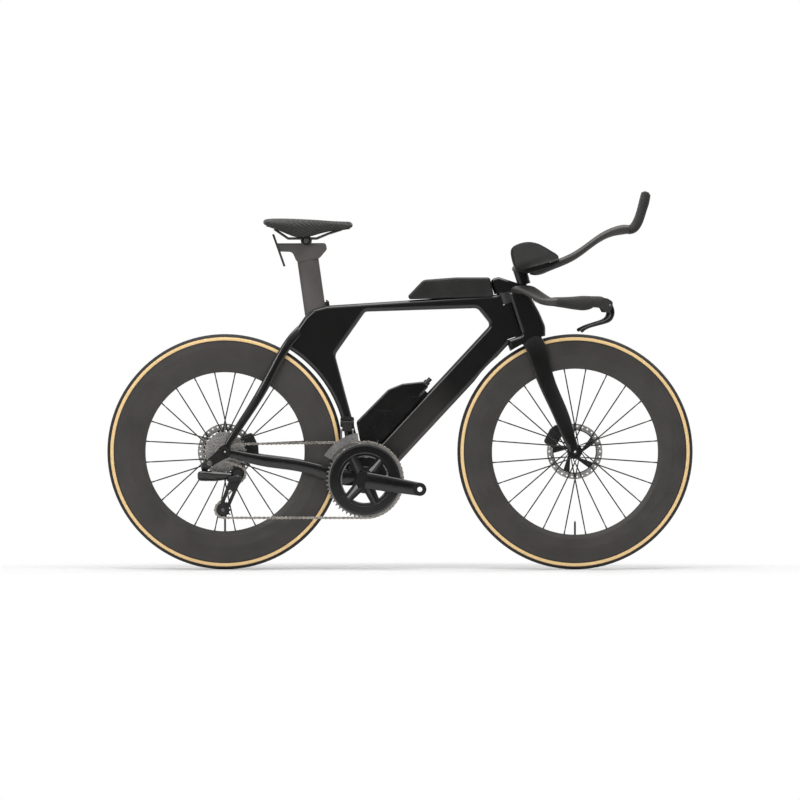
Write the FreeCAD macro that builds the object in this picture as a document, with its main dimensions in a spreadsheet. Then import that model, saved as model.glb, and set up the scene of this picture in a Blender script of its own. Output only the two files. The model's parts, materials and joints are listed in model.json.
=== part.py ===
import FreeCAD, Part
import Sketcher
import math
import os
from types import SimpleNamespace

from FreeCAD import Placement, Rotation, Vector

# A time trial bike at its real size, in millimetres and degrees.
# X points forward, Y to the rider's left and Z up. The origin is on the ground midway between the wheels.
driving = {
    # wheels
    "wheelbase": 1008.0,
    "tyre_radius": 339.0,
    "tyre_section": 28.0,
    "tyre_wall": 2.6,
    "rim_outer_radius": 319.0,
    "front_rim_depth": 80.0,
    "rear_rim_depth": 90.0,
    "rim_width": 31.0,
    "rim_nose_width": 10.0,
    "rim_wall": 2.2,
    "spoke_count": 24,
    "spoke_diameter": 2.7,
    "spoke_crossing": 60.0,
    "valve_diameter": 6.0,
    "valve_length": 38.0,
    "axle_diameter": 12.0,
    "axle_bore": 8.0,
    "front_hub_width": 100.0,
    "rear_hub_width": 142.0,
    "front_flange_radius": 19.0,
    "rear_flange_radius": 24.0,
    "flange_thickness": 3.2,
    "hub_barrel_radius": 11.0,
    "hub_end_clearance": 0.3,
    "bearing_fit": 0.05,
    "rotor_radius": 80.0,
    "rotor_ring_width": 15.0,
    "rotor_thickness": 1.8,
    "rotor_arms": 5,
    "rotor_slots": 30,
    "rotor_inset": 13.0,
    "freehub_radius": 17.5,
    # frame
    "bottom_bracket_drop": 80.0,
    "chainstay_length": 411.0,
    "seat_cluster_setback": 147.0,
    "seat_cluster_rise": 511.0,
    "head_angle": 72.0,
    "fork_offset": 52.0,
    "seat_angle": 81.9,
    "tube_width": 38.0,
    "tube_edge_radius": 11.0,
    "down_tube_depth": 77.0,
    "head_tube_start": 368.0,
    "head_tube_length": 97.0,
    "rear_tyre_gap": 9.0,
    "front_tyre_gap": 15.0,
    "shell_width": 86.0,
    "shell_radius": 29.0,
    "gusset_radius": 40.0,
    "gusset_width": 56.0,
    "spindle_diameter": 24.0,
    "seatstay_depth": 24.0,
    "seatstay_width": 13.0,
    "chainstay_depth": 40.0,
    "chainstay_width": 15.0,
    "dropout_thickness": 9.0,
    "dropout_radius": 19.0,
    # steering
    "steerer_diameter": 20.0,
    "bearing_outer_diameter": 32.0,
    "bearing_height": 8.0,
    "steering_gap": 1.5,
    "bayonet_width": 54.0,
    "bayonet_edge_radius": 11.0,
    "crown_radius": 37.0,
    "fork_leg_depth": 46.0,
    "fork_leg_width": 12.0,
    # cockpit
    "bar_half_span": 195.0,
    "bar_centre_chord": 74.0,
    "bar_thickness": 25.0,
    "grip_diameter": 31.0,
    "grip_length": 128.0,
    "lever_width": 9.0,
    "lever_clearance": 0.4,
    "pivot_diameter": 5.0,
    "pivot_fit": 0.06,
    "riser_chord": 38.0,
    "riser_width": 27.0,
    "riser_insert": 52.0,
    "slide_fit": 0.35,
    "cup_spacing": 152.0,
    "cup_length": 116.0,
    "cup_radius": 47.0,
    "cup_wall": 3.0,
    "pad_thickness": 15.0,
    "extension_spacing": 84.0,
    "extension_diameter": 24.0,
    "extension_grip_diameter": 27.0,
    "button_diameter": 16.0,
    "button_travel": 1.5,
    # seat
    "post_chord": 62.0,
    "post_width": 23.0,
    "post_insert": 80.0,
    "post_fit": 0.3,
    "post_travel": 25.0,
    "rail_diameter": 7.0,
    "rail_spacing": 44.0,
    "saddle_length": 255.0,
    "saddle_width": 138.0,
    "saddle_nose_width": 46.0,
    "saddle_pad_height": 22.0,
    "clamp_barrel_diameter": 20.0,
    "cage_plate_length": 98.0,
    "cage_plate_thickness": 6.0,
    "cage_plate_width": 30.0,
    "cage_hole_spacing": 64.0,
    "cage_hole_diameter": 5.0,
    # drivetrain
    "chain_pitch": 12.7,
    "roller_diameter": 7.6,
    "tooth_seat_clearance": 0.3,
    "outer_ring_teeth": 54,
    "inner_ring_teeth": 40,
    "small_sprocket_teeth": 11,
    "pulley_teeth": 11,
    "outer_ring_line": 48.5,
    "inner_ring_line": 40.5,
    "small_sprocket_line": 63.5,
    "sprocket_spacing": 3.55,
    "sprocket_thickness": 1.6,
    "crank_length": 160.0,
    "crank_angle": -9.5,
    "crank_stance": 150.0,
    "crank_arm_thickness": 14.0,
    "pedal_thread_diameter": 14.28,
    "pulley_distance": 112.0,
    "pulley_thickness": 2.0,
    "derailleur_link_length": 75.0,
    # bottle and box
    "bottle_width": 56.0,
    "bottle_height": 86.0,
    "cage_wall": 2.6,
    "bottle_fit": 0.4,
    "box_length": 246.0,
    "box_width": 46.0,
    "box_height": 50.0,
    "box_wall": 2.4,
    "box_lid_thickness": 6.0,
}

doc = FreeCAD.newDocument("TimeTrialBike")
sheet = doc.addObject("Spreadsheet::Sheet", "Sizes")
for row, (alias, number) in enumerate(driving.items(), start=1):
    sheet.set(f"A{row}", alias.replace("_", " "))
    sheet.set(f"B{row}", str(number))
    sheet.setAlias(f"B{row}", alias)
doc.recompute()


class Size(float):
    """A number from the sheet that keeps its formula, so that a feature can be bound to it."""

    def __new__(cls, number, formula):
        made = super().__new__(cls, number)
        made.formula = formula
        return made

    def __add__(self, other):
        return Size(float(self) + float(other), f"({self.formula} + {formula_of(other)})")

    def __sub__(self, other):
        return Size(float(self) - float(other), f"({self.formula} - {formula_of(other)})")

    def __rsub__(self, other):
        return Size(float(other) - float(self), f"({formula_of(other)} - {self.formula})")

    def __mul__(self, other):
        return Size(float(self) * float(other), f"({self.formula} * {formula_of(other)})")

    def __truediv__(self, other):
        return Size(float(self) / float(other), f"({self.formula} / {formula_of(other)})")

    def __neg__(self):
        return Size(-float(self), f"(0 - {self.formula})")

    __radd__ = __add__
    __rmul__ = __mul__


def formula_of(number):
    return number.formula if isinstance(number, Size) else repr(float(number))


s = SimpleNamespace(**{alias: Size(getattr(sheet, alias), f"Sizes.{alias}") for alias in driving})
left, right = 1, -1
sides = (left, right)
across = Vector(0, 1, 0)
up = Vector(0, 0, 1)
nodes = []


def unit(vector):
    return Vector(vector).normalize()


def polar(radius, degrees):
    """Point of the XZ plane at this radius, turned from +X towards +Z."""
    turn = math.radians(degrees)
    return Vector(radius * math.cos(turn), 0, radius * math.sin(turn))


def at_y(point, y):
    return Vector(point.x, y, point.z)


def bind(feature, **properties):
    for name, number in properties.items():
        if isinstance(number, Size):
            feature.setExpression(name.replace("__", "."), number.formula)
        else:
            setattr(feature, name, number)


def node(label, feature):
    """Registers a finished object as the sub-part with this label."""
    feature.Label = label
    nodes.append(feature)
    return feature


def solid_node(label, shape, placement=None):
    """A sub-part whose shape has no feature of its own, such as a blend or a fused casting."""
    feature = doc.addObject("Part::Feature", label)
    feature.Shape = shape
    if placement:
        feature.Placement = placement
    return node(label, feature)


def shape_of(label):
    return next(item.Shape for item in nodes if item.Label == label)


def plane(body, role):
    return next(feature for feature in body.Origin.OriginFeatures if feature.Role == role)


def new_sketch(body, name, role):
    sketch = body.newObject("Sketcher::SketchObject", name)
    sketch.AttachmentSupport = [(plane(body, role), "")]
    sketch.MapMode = "FlatFace"
    return sketch


def place_corner(sketch, geometry, end, axis, number):
    """Ties one coordinate of a sketch point to the origin, or sets the point on the axis itself."""
    if float(number) == 0:
        line = -2 if axis == "X" else -1
        sketch.addConstraint(Sketcher.Constraint("PointOnObject", geometry, end, line))
        return
    constraint = Sketcher.Constraint(f"Distance{axis}", -1, 1, geometry, end, float(number))
    index = sketch.addConstraint(constraint)
    if isinstance(number, Size):
        sketch.setExpression(f"Constraints[{index}]", number.formula)


def polygon_sketch(body, name, role, corners):
    """Closed outline of straight sides whose corners are (first, second) sizes from the origin."""
    sketch = new_sketch(body, name, role)
    count = len(corners)
    points = [Vector(float(first), float(second), 0) for first, second in corners]
    lines = [Part.LineSegment(points[i], points[(i + 1) % count]) for i in range(count)]
    sketch.addGeometry(lines, False)
    for i in range(count):
        sketch.addConstraint(Sketcher.Constraint("Coincident", i, 2, (i + 1) % count, 1))
    for i, (first, second) in enumerate(corners):
        place_corner(sketch, i, 1, "X", first)
        place_corner(sketch, i, 1, "Y", second)
    return sketch


def circle_sketch(body, name, role, circles):
    """Sketch of circles given as (first, second, radius)."""
    sketch = new_sketch(body, name, role)
    for index, (first, second, radius) in enumerate(circles):
        centre = Vector(float(first), float(second), 0)
        sketch.addGeometry(Part.Circle(centre, Vector(0, 0, 1), float(radius)), False)
        place_corner(sketch, index, 3, "X", first)
        place_corner(sketch, index, 3, "Y", second)
        number = sketch.addConstraint(Sketcher.Constraint("Radius", index, float(radius)))
        if isinstance(radius, Size):
            sketch.setExpression(f"Constraints[{number}]", radius.formula)
    return sketch


def turned_body(label, outline, centre):
    """Body revolved about the Y line through centre, from (radius, station along the axle) corners."""
    body = doc.addObject("PartDesign::Body", label)
    sketch = polygon_sketch(body, f"{label}_outline", "XY_Plane", outline)
    revolve = body.newObject("PartDesign::Revolution", f"{label}_turn")
    revolve.Profile = sketch
    revolve.ReferenceAxis = (sketch, ["V_Axis"])
    revolve.Angle = 360
    body.Placement = Placement(centre, Rotation())
    return body


def groove(body, sketch):
    cut = body.newObject("PartDesign::Groove", f"{sketch.Name}_groove")
    cut.Profile = sketch
    cut.ReferenceAxis = (sketch, ["V_Axis"])
    cut.Angle = 360
    return cut


def cylinder(base, direction, radius, length):
    return Part.makeCylinder(float(radius), float(length), base, direction)


def rod(start, end, radius):
    return cylinder(start, end - start, radius, (end - start).Length)


def bar_across(centre, radius, width):
    """Cylinder along Y, centred on a point."""
    return cylinder(at_y(centre, centre.y - width / 2), across, radius, width)


def ring_across(centre, outer, inner, width):
    return bar_across(centre, outer, width).cut(bar_across(centre, inner, width))


def section(centre, along, depth, width, squareness=2.4, lean=across, count=16):
    """Smooth closed outline square to a direction. The width lies along the lean vector."""
    forward = unit(along)
    wide = unit(lean - forward * lean.dot(forward))
    deep = wide.cross(forward)
    power = 2 / squareness
    ring = []
    for i in range(count):
        turn = 2 * math.pi * i / count
        c, d = math.cos(turn), math.sin(turn)
        ring.append(
            centre
            + deep * (depth / 2 * math.copysign(abs(c) ** power, c))
            + wide * (width / 2 * math.copysign(abs(d) ** power, d))
        )
    curve = Part.BSplineCurve()
    curve.interpolate(ring, PeriodicFlag=True)
    return Part.Wire([curve.toShape()])


def loft(wires, ruled=False):
    return Part.makeLoft(wires, True, ruled)


def tube(stations, squareness=2.4, lean=across, first=None, last=None):
    """Loft along a centre line of (point, depth, width) stations, with set end directions if given."""
    points = [station[0] for station in stations]
    runs = [
        points[min(i + 1, len(points) - 1)] - points[max(i - 1, 0)] for i in range(len(points))
    ]
    runs[0] = first or runs[0]
    runs[-1] = last or runs[-1]
    wires = []
    for (point, depth, width), run in zip(stations, runs):
        wires.append(section(point, run, depth, width, squareness, lean))
    return loft(wires)


def rounded_wire(corners, y=0):
    """Closed outline in a plane of constant Y from (x, z, corner radius) corners."""
    points = [Vector(x, y, z) for x, z, radius in corners]
    count = len(points)
    ends = []
    for i, (x, z, radius) in enumerate(corners):
        back = points[i - 1] - points[i]
        ahead = points[(i + 1) % count] - points[i]
        half = back.getAngle(ahead) / 2
        reach = min(radius / math.tan(half), 0.48 * back.Length, 0.48 * ahead.Length)
        true_radius = reach * math.tan(half)
        bisector = unit(unit(back) + unit(ahead)) if half < math.pi / 2 - 1e-6 else Vector()
        middle = points[i] + bisector * (true_radius / math.sin(half) - true_radius)
        ends.append((points[i] + unit(back) * reach, middle, points[i] + unit(ahead) * reach))
    edges = []
    for i in range(count):
        start, middle, end = ends[i]
        if (end - start).Length > 1e-6:
            edges.append(Part.Arc(start, middle, end).toShape())
        edges.append(Part.LineSegment(end, ends[(i + 1) % count][0]).toShape())
    return Part.Wire(edges)


def plate(corners, y, thickness, holes=()):
    """Flat piece with a rounded side outline, from y over its thickness."""
    wires = [rounded_wire(corners, y)] + [rounded_wire(hole, y) for hole in holes]
    face = Part.Face(wires, "Part::FaceMakerBullseye")
    return face.extrude(Vector(0, thickness, 0))


def middle_plate(corners, width, holes=()):
    return plate(corners, -width / 2, width, holes)


def flat_edges(shape, *levels):
    """Edges that lie in one of these planes of constant Y."""
    return [
        edge
        for edge in shape.Edges
        if edge.BoundBox.YLength < 1e-6
        and any(abs(edge.BoundBox.YMin - level) < 1e-6 for level in levels)
    ]


def soft_plate(corners, width, radius, holes=()):
    """Centred plate with its side edges rounded over."""
    shape = middle_plate(corners, width, holes)
    return shape.makeFillet(float(radius), flat_edges(shape, -width / 2, width / 2))


def fused(shapes):
    first, *rest = shapes
    return first.multiFuse(rest)


def joined(shapes):
    return Part.makeCompound(list(shapes))


def mirrored(shape):
    return shape.mirror(Vector(), across)


def both_sides(shape):
    """A piece made for the left, with its twin on the right."""
    return joined([shape, mirrored(shape)])


# Main points of the bike
axle_height = s.tyre_radius
rear_axle = Vector(-s.wheelbase / 2, 0, axle_height)
front_axle = Vector(s.wheelbase / 2, 0, axle_height)
bottom_bracket = rear_axle + Vector(
    math.sqrt(s.chainstay_length**2 - s.bottom_bracket_drop**2), 0, -s.bottom_bracket_drop
)
steer_up = polar(1, 180 - s.head_angle)
steer_ahead = polar(1, 90 - s.head_angle)
steer_base = front_axle - steer_ahead * s.fork_offset


def steer_point(height, ahead=0.0, y=0.0):
    """Point at a height along the steering axis, ahead of it and to one side."""
    return steer_base + steer_up * height + steer_ahead * ahead + Vector(0, y, 0)


def steer_cylinder(radius, start, end):
    return cylinder(steer_point(start), steer_up, radius, end - start)


head_low = s.head_tube_start
head_top = s.head_tube_start + s.head_tube_length

# Wheels
rear_rotor_shift = 4.0
axle_head = SimpleNamespace(radius=8.5, height=3.0)
valve_hole_fit = 0.05


def tied_y(feature, y):
    """Moves a body along Y and binds that move to the sheet."""
    feature.setExpression("Placement.Base.y", y.formula)


def rim_depth(end):
    return s.rear_rim_depth if end == "rear" else s.front_rim_depth


def make_rim(end, axle):
    outer, width, wall = s.rim_outer_radius, s.rim_width, s.rim_wall
    depth = rim_depth(end)
    inner = outer - depth
    middle = width / 2
    shoulder = outer - depth * 0.5
    waist = outer - depth * 0.84
    waist_half = s.rim_width * 0.3
    nose_half = s.rim_nose_width / 2
    bed = inner + wall * 3
    left_side = [
        (outer, width * 0.03),
        (outer - depth * 0.2, Size(0, "0")),
        (shoulder, width * 0.04),
        (waist, middle - waist_half),
        (inner, middle - nose_half * 0.9),
    ]
    cavity = [
        (outer, width - wall * 1.2),
        (shoulder, width - wall * 1.6),
        (waist, middle + waist_half - wall),
        (bed, middle + nose_half * 0.7),
        (bed, middle - nose_half * 0.7),
        (waist, middle - waist_half + wall),
        (shoulder, wall * 1.6),
        (outer, wall * 1.2),
    ]
    right_side = [(radius, width - station) for radius, station in reversed(left_side)]
    body = turned_body(f"{end}_rim_body", left_side + right_side + cavity, axle)
    tied_y(body, -width / 2)
    hole = doc.addObject("Part::Cylinder", f"{end}_valve_hole")
    bind(hole, Radius=s.valve_diameter / 2 + valve_hole_fit, Height=depth)
    hole.Placement = Placement(axle + Vector(0, 0, -outer), Rotation())
    drilled = doc.addObject("Part::Cut", f"{end}_rim_drilled")
    drilled.Base, drilled.Tool = body, hole
    stem = doc.addObject("Part::Cylinder", f"{end}_valve_stem")
    bind(stem, Radius=s.valve_diameter / 2, Height=s.valve_length)
    tip = doc.addObject("Part::Cone", f"{end}_valve_tip")
    bind(tip, Radius1=s.valve_diameter / 2, Radius2=s.valve_diameter / 4, Height=s.valve_diameter)
    foot = axle + Vector(0, 0, -(bed - wall))
    stem.Placement = Placement(foot, Rotation())
    tip.Placement = Placement(foot + up * s.valve_length, Rotation())
    valve = doc.addObject("Part::MultiFuse", f"{end}_valve")
    valve.Shapes = [stem, tip]
    pair = doc.addObject("Part::Compound", f"{end}_rim")
    pair.Links = [drilled, valve]
    return node(f"{end}_rim", pair)


def make_tyre(end, axle):
    """Torus casing, hollow and open towards the rim."""
    half = s.tyre_section / 2
    centre_radius = s.tyre_radius - half
    body = doc.addObject("PartDesign::Body", f"{end}_tyre")
    casing = circle_sketch(body, f"{end}_casing", "XY_Plane", [(centre_radius, half, half)])
    revolve = body.newObject("PartDesign::Revolution", f"{end}_casing_turn")
    revolve.Profile = casing
    revolve.ReferenceAxis = (casing, ["V_Axis"])
    revolve.Angle = 360
    air = circle_sketch(
        body, f"{end}_air", "XY_Plane", [(centre_radius, half, half - s.tyre_wall)]
    )
    groove(body, air)
    mouth_half = half * 0.62
    mouth = [
        (centre_radius - half * 1.1, half - mouth_half),
        (centre_radius, half - mouth_half),
        (centre_radius, half + mouth_half),
        (centre_radius - half * 1.1, half + mouth_half),
    ]
    groove(body, polygon_sketch(body, f"{end}_mouth", "XY_Plane", mouth))
    body.Placement = Placement(axle, Rotation())
    tied_y(body, -half)
    return node(f"{end}_tyre", body)


def make_hub(end, axle, hub_width, flange_radius, flange_ys, start, finish, mount_y):
    """Turned hub shell with two spoke flanges. Stations run from the right dropout face."""
    bore = s.axle_diameter / 2 + s.bearing_fit
    barrel, half = s.hub_barrel_radius, s.flange_thickness / 2
    cap = s.axle_diameter * 0.8
    spline = barrel + 6
    low, high = (y + hub_width / 2 for y in flange_ys)
    ending = finish + hub_width / 2
    mount = mount_y + hub_width / 2
    beginning = start + hub_width / 2
    outline = [
        (bore, beginning),
        (cap, beginning),
        (cap + 2, low - half),
        (flange_radius, low - half),
        (flange_radius, low + half),
        (barrel + 2, low + half * 2),
        (barrel, (low + high) / 2),
        (barrel + 2, high - half * 2),
        (flange_radius, high - half),
        (flange_radius, high + half),
        (spline, high + half * 2),
        (spline, mount + s.rotor_thickness),
        (cap, mount + s.rotor_thickness * 1.5),
        (cap, ending),
        (bore, ending),
    ]
    body = turned_body(f"{end}_hub", outline, axle)
    tied_y(body, -hub_width / 2)
    return node(f"{end}_hub", body), spline


def make_spokes(end, axle, flange_radius, flange_ys):
    """Crossed spokes that alternate between the two flanges."""
    step = 360 / s.spoke_count
    seat = flange_radius - s.spoke_diameter * 1.2
    nipple = s.rim_outer_radius - rim_depth(end) + s.rim_wall
    spokes = []
    for i in range(round(s.spoke_count)):
        turn = (i + 0.5) * step
        lead = 1 if i % 4 < 2 else -1
        flange_y = flange_ys[i % 2]
        inner = at_y(axle + polar(seat, turn + lead * s.spoke_crossing), flange_y)
        outer = at_y(axle + polar(nipple, turn), math.copysign(0.6, flange_y))
        spokes.append(rod(inner, outer, s.spoke_diameter / 2))
    return solid_node(f"{end}_spokes", joined(spokes))


def make_rotor(end, axle, mount_y, spline):
    """Slotted braking ring on a carrier with swept arms."""
    inner = s.rotor_radius - s.rotor_ring_width
    ring = doc.addObject("PartDesign::Body", f"{end}_rotor_ring")
    rings = circle_sketch(
        ring, f"{end}_rotor_faces", "XZ_Plane", [(0, 0, s.rotor_radius), (0, 0, inner)]
    )
    pad = ring.newObject("PartDesign::Pad", f"{end}_rotor_pad")
    pad.Profile = rings
    bind(pad, Length=s.rotor_thickness)
    slot_radius = s.rotor_ring_width * 0.17
    slot = circle_sketch(
        ring,
        f"{end}_rotor_slot",
        "XZ_Plane",
        [(s.rotor_radius - s.rotor_ring_width * 0.45, 0, slot_radius)],
    )
    doc.recompute()
    pocket = ring.newObject("PartDesign::Pocket", f"{end}_rotor_pocket")
    pocket.Profile = slot
    pocket.Type = "ThroughAll"
    pocket.Reversed = True
    pattern = ring.newObject("PartDesign::PolarPattern", f"{end}_rotor_slots")
    pattern.Originals = [pocket]
    pattern.Axis = (slot, ["N_Axis"])
    pattern.Angle = 360
    bind(pattern, Occurrences=s.rotor_slots)
    ring.Tip = pattern
    ring.Placement = Placement(axle, Rotation())
    tied_y(ring, mount_y + s.rotor_thickness)
    arms = [ring_across(axle, spline + 5, spline, s.rotor_thickness)]
    arm_step = 360 / s.rotor_arms
    sweep = 32
    for i in range(round(s.rotor_arms)):
        root, tip = arm_step * i, arm_step * i + sweep
        corners = [
            axle + polar(spline + 2, root - 14),
            axle + polar(inner - 0.4, tip - 9),
            axle + polar(inner - 0.4, tip + 9),
            axle + polar(spline + 2, root + 14),
        ]
        outline = [(corner.x, corner.z, 1.5) for corner in corners]
        arms.append(middle_plate(outline, s.rotor_thickness))
    rim_band = ring_across(axle, inner, inner - 4, s.rotor_thickness)
    carrier = doc.addObject("Part::Feature", f"{end}_rotor_carrier")
    carrier.Shape = fused(arms + [rim_band])
    carrier.Placement = Placement(Vector(0, mount_y + s.rotor_thickness / 2, 0), Rotation())
    pair = doc.addObject("Part::Compound", f"{end}_rotor")
    pair.Links = [ring, carrier]
    return node(f"{end}_rotor", pair)


def make_axle(end, axle, hub_width):
    """Hollow through axle with a low head on the right."""
    span = hub_width + s.dropout_thickness * 2
    bore, shank = s.axle_bore / 2, s.axle_diameter / 2
    head = axle_head.height
    outline = [
        (bore, Size(0, "0")),
        (Size(axle_head.radius, repr(axle_head.radius)), Size(0, "0")),
        (Size(axle_head.radius, repr(axle_head.radius)), Size(head, repr(head))),
        (shank, Size(head, repr(head))),
        (shank, span + head),
        (bore, span + head),
    ]
    body = turned_body(f"{end}_axle", outline, axle)
    tied_y(body, -(span / 2 + head))
    return node(f"{end}_axle", body)


front_flanges = (0.24 * s.front_hub_width, -0.36 * s.front_hub_width)
rear_flanges = (0.24 * s.rear_hub_width, -0.115 * s.rear_hub_width)
front_rotor_y = s.front_hub_width / 2 - s.rotor_inset
rear_rotor_y = s.rear_hub_width / 2 - s.rotor_inset - rear_rotor_shift
freehub_start = rear_flanges[1] - s.flange_thickness


def make_wheel(end, axle, hub_width, flange_radius, flange_ys, start, rotor_y):
    make_tyre(end, axle)
    make_rim(end, axle)
    make_spokes(end, axle, flange_radius, flange_ys)
    finish = hub_width / 2 - s.hub_end_clearance
    ordered = (flange_ys[1], flange_ys[0])
    hub, spline = make_hub(
        end, axle, hub_width, flange_radius, ordered, start, finish, rotor_y
    )
    make_rotor(end, axle, rotor_y, spline)
    make_axle(end, axle, hub_width)


make_wheel(
    "front",
    front_axle,
    s.front_hub_width,
    s.front_flange_radius,
    front_flanges,
    s.hub_end_clearance - s.front_hub_width / 2,
    front_rotor_y,
)
make_wheel(
    "rear",
    rear_axle,
    s.rear_hub_width,
    s.rear_flange_radius,
    rear_flanges,
    freehub_start,
    rear_rotor_y,
)

# Frame
seat_cluster = bottom_bracket + Vector(-s.seat_cluster_setback, 0, s.seat_cluster_rise)
seat_up = polar(1, 180 - s.seat_angle)
seat_ahead = polar(1, 90 - s.seat_angle)
down_end = steer_point(head_low + s.head_tube_length / 2)
down_run = unit(down_end - bottom_bracket)
down_up = Vector(-down_run.z, 0, down_run.x)
down_length = (down_end - bottom_bracket).Length
half_width = s.tube_width / 2
rear_clear = s.tyre_radius + s.rear_tyre_gap
front_clear = s.tyre_radius + s.front_tyre_gap
rear_dropout_y = (s.rear_hub_width + s.dropout_thickness) / 2
front_dropout_y = (s.front_hub_width + s.dropout_thickness) / 2


def from_seat(x, z):
    return seat_cluster + Vector(x, 0, z)


def from_down_tube(along, above):
    """Point along the down tube from the bottom bracket and above its centre line."""
    return bottom_bracket + down_run * along + down_up * above


def seat_point(height, ahead=0.0):
    return seat_cluster + seat_up * height + seat_ahead * ahead


def outline(*corners):
    return [(point.x, point.z, radius) for point, radius in corners]


def side_cylinder(centre, radius):
    """Wheel-sized clearance across the whole frame."""
    return bar_across(centre, radius, s.shell_width * 3)


def frame_core():
    """Monocoque front triangle and seat mast, cut round both tyres and rounded along its edges."""
    half_depth = s.down_tube_depth / 2
    outer = outline(
        (from_down_tube(0, -half_depth), 0),
        (from_down_tube(down_length - 60, -half_depth), 0),
        (steer_point(head_low - 16), 0),
        (steer_point(head_top), 0),
        (steer_point(head_top + 37), 0),
        (steer_point(head_top + 36, -26), 0),
        (from_seat(36, -10), 60),
        (from_seat(-2, -20), 30),
        (from_seat(-27, -42), 18),
        (from_seat(-86, -128), 0),
        (from_seat(-60, -190), 0),
        (from_seat(20, -320), 0),
        (bottom_bracket + Vector(-60, 0, 40), 0),
        (bottom_bracket + Vector(-38, 0, 6), 0),
    )
    opening = outline(
        (from_seat(148, -28), 12),
        (steer_point(head_top + 15, -88), 20),
        (from_down_tube(down_length - 55, half_depth), 14),
        (from_down_tube(36, half_depth), 16),
        (from_seat(61, -152), 22),
    )
    shape = middle_plate(outer, s.tube_width, [opening]).cut(side_cylinder(rear_axle, rear_clear))
    edges = flat_edges(shape, -half_width, half_width)
    shape = shape.makeFillet(float(s.tube_edge_radius), edges)
    shape = shape.cut(side_cylinder(front_axle, front_clear))
    return shape.cut(steer_cylinder(s.crown_radius + s.steering_gap, 0, head_low))


def seatstay():
    depth, width = s.seatstay_depth, s.seatstay_width
    return tube(
        [
            (at_y(from_seat(-37, -78), 9), depth * 1.1, width),
            (at_y(from_seat(-89, -144), s.tyre_section / 2 + width), depth * 1.1, width),
            (at_y(rear_axle + Vector(78, 0, 128), 48), depth, width),
            (at_y(rear_axle + Vector(16, 0, 32), rear_dropout_y), depth * 0.86, s.dropout_thickness),
            (at_y(rear_axle, rear_dropout_y), depth * 0.86, s.dropout_thickness),
        ],
        squareness=2.8,
    )


def chainstay():
    depth, width = s.chainstay_depth, s.chainstay_width
    return tube(
        [
            (at_y(bottom_bracket + Vector(-14, 0, 12), 20), depth * 1.1, width),
            (at_y(bottom_bracket + Vector(-100, 0, 16), s.tyre_section + 0.5), depth, width),
            (at_y(rear_axle + Vector(174, 0, -33), 46), depth * 0.85, width),
            (at_y(rear_axle + Vector(64, 0, -15), 69), depth * 0.7, s.dropout_thickness * 1.2),
            (at_y(rear_axle + Vector(20, 0, -4), rear_dropout_y), depth * 0.6, s.dropout_thickness),
            (at_y(rear_axle, rear_dropout_y), depth * 0.6, s.dropout_thickness),
        ],
        squareness=2.8,
    )


def post_bar(chord, width, start, end):
    """Streamlined bar along the seat post's line."""
    foot = section(seat_point(start), seat_up, chord, width, squareness=2.2)
    return loft([foot, section(seat_point(end), seat_up, chord, width, squareness=2.2)])


cup_outer_radius = s.shell_radius - 8
cup_reach = 12.0
cup_flange = 3.0
wedge = SimpleNamespace(depth=12.0, width=14.0, height=26.0)
wedge_height = -30.0
wedge_ahead = s.post_chord / 2 + s.post_fit + wedge.depth / 2
bolt_radius = 2.5


def wedge_block(height):
    """Upright block beside the seat post, from the wedge's foot."""
    foot = section(
        seat_point(wedge_height, wedge_ahead), seat_up, wedge.depth, wedge.width, squareness=6
    )
    top = section(
        seat_point(wedge_height + height, wedge_ahead), seat_up, wedge.depth, wedge.width, squareness=6
    )
    return loft([foot, top])


def spot_faces(axle, dropout_y, radius):
    """Space outside both dropouts that leaves them a flat face round the axle."""
    start, depth = dropout_y + s.dropout_thickness / 2, 20.0
    face = bar_across(at_y(axle, start + depth / 2), radius, depth)
    return joined([face, mirrored(face)])


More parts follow.
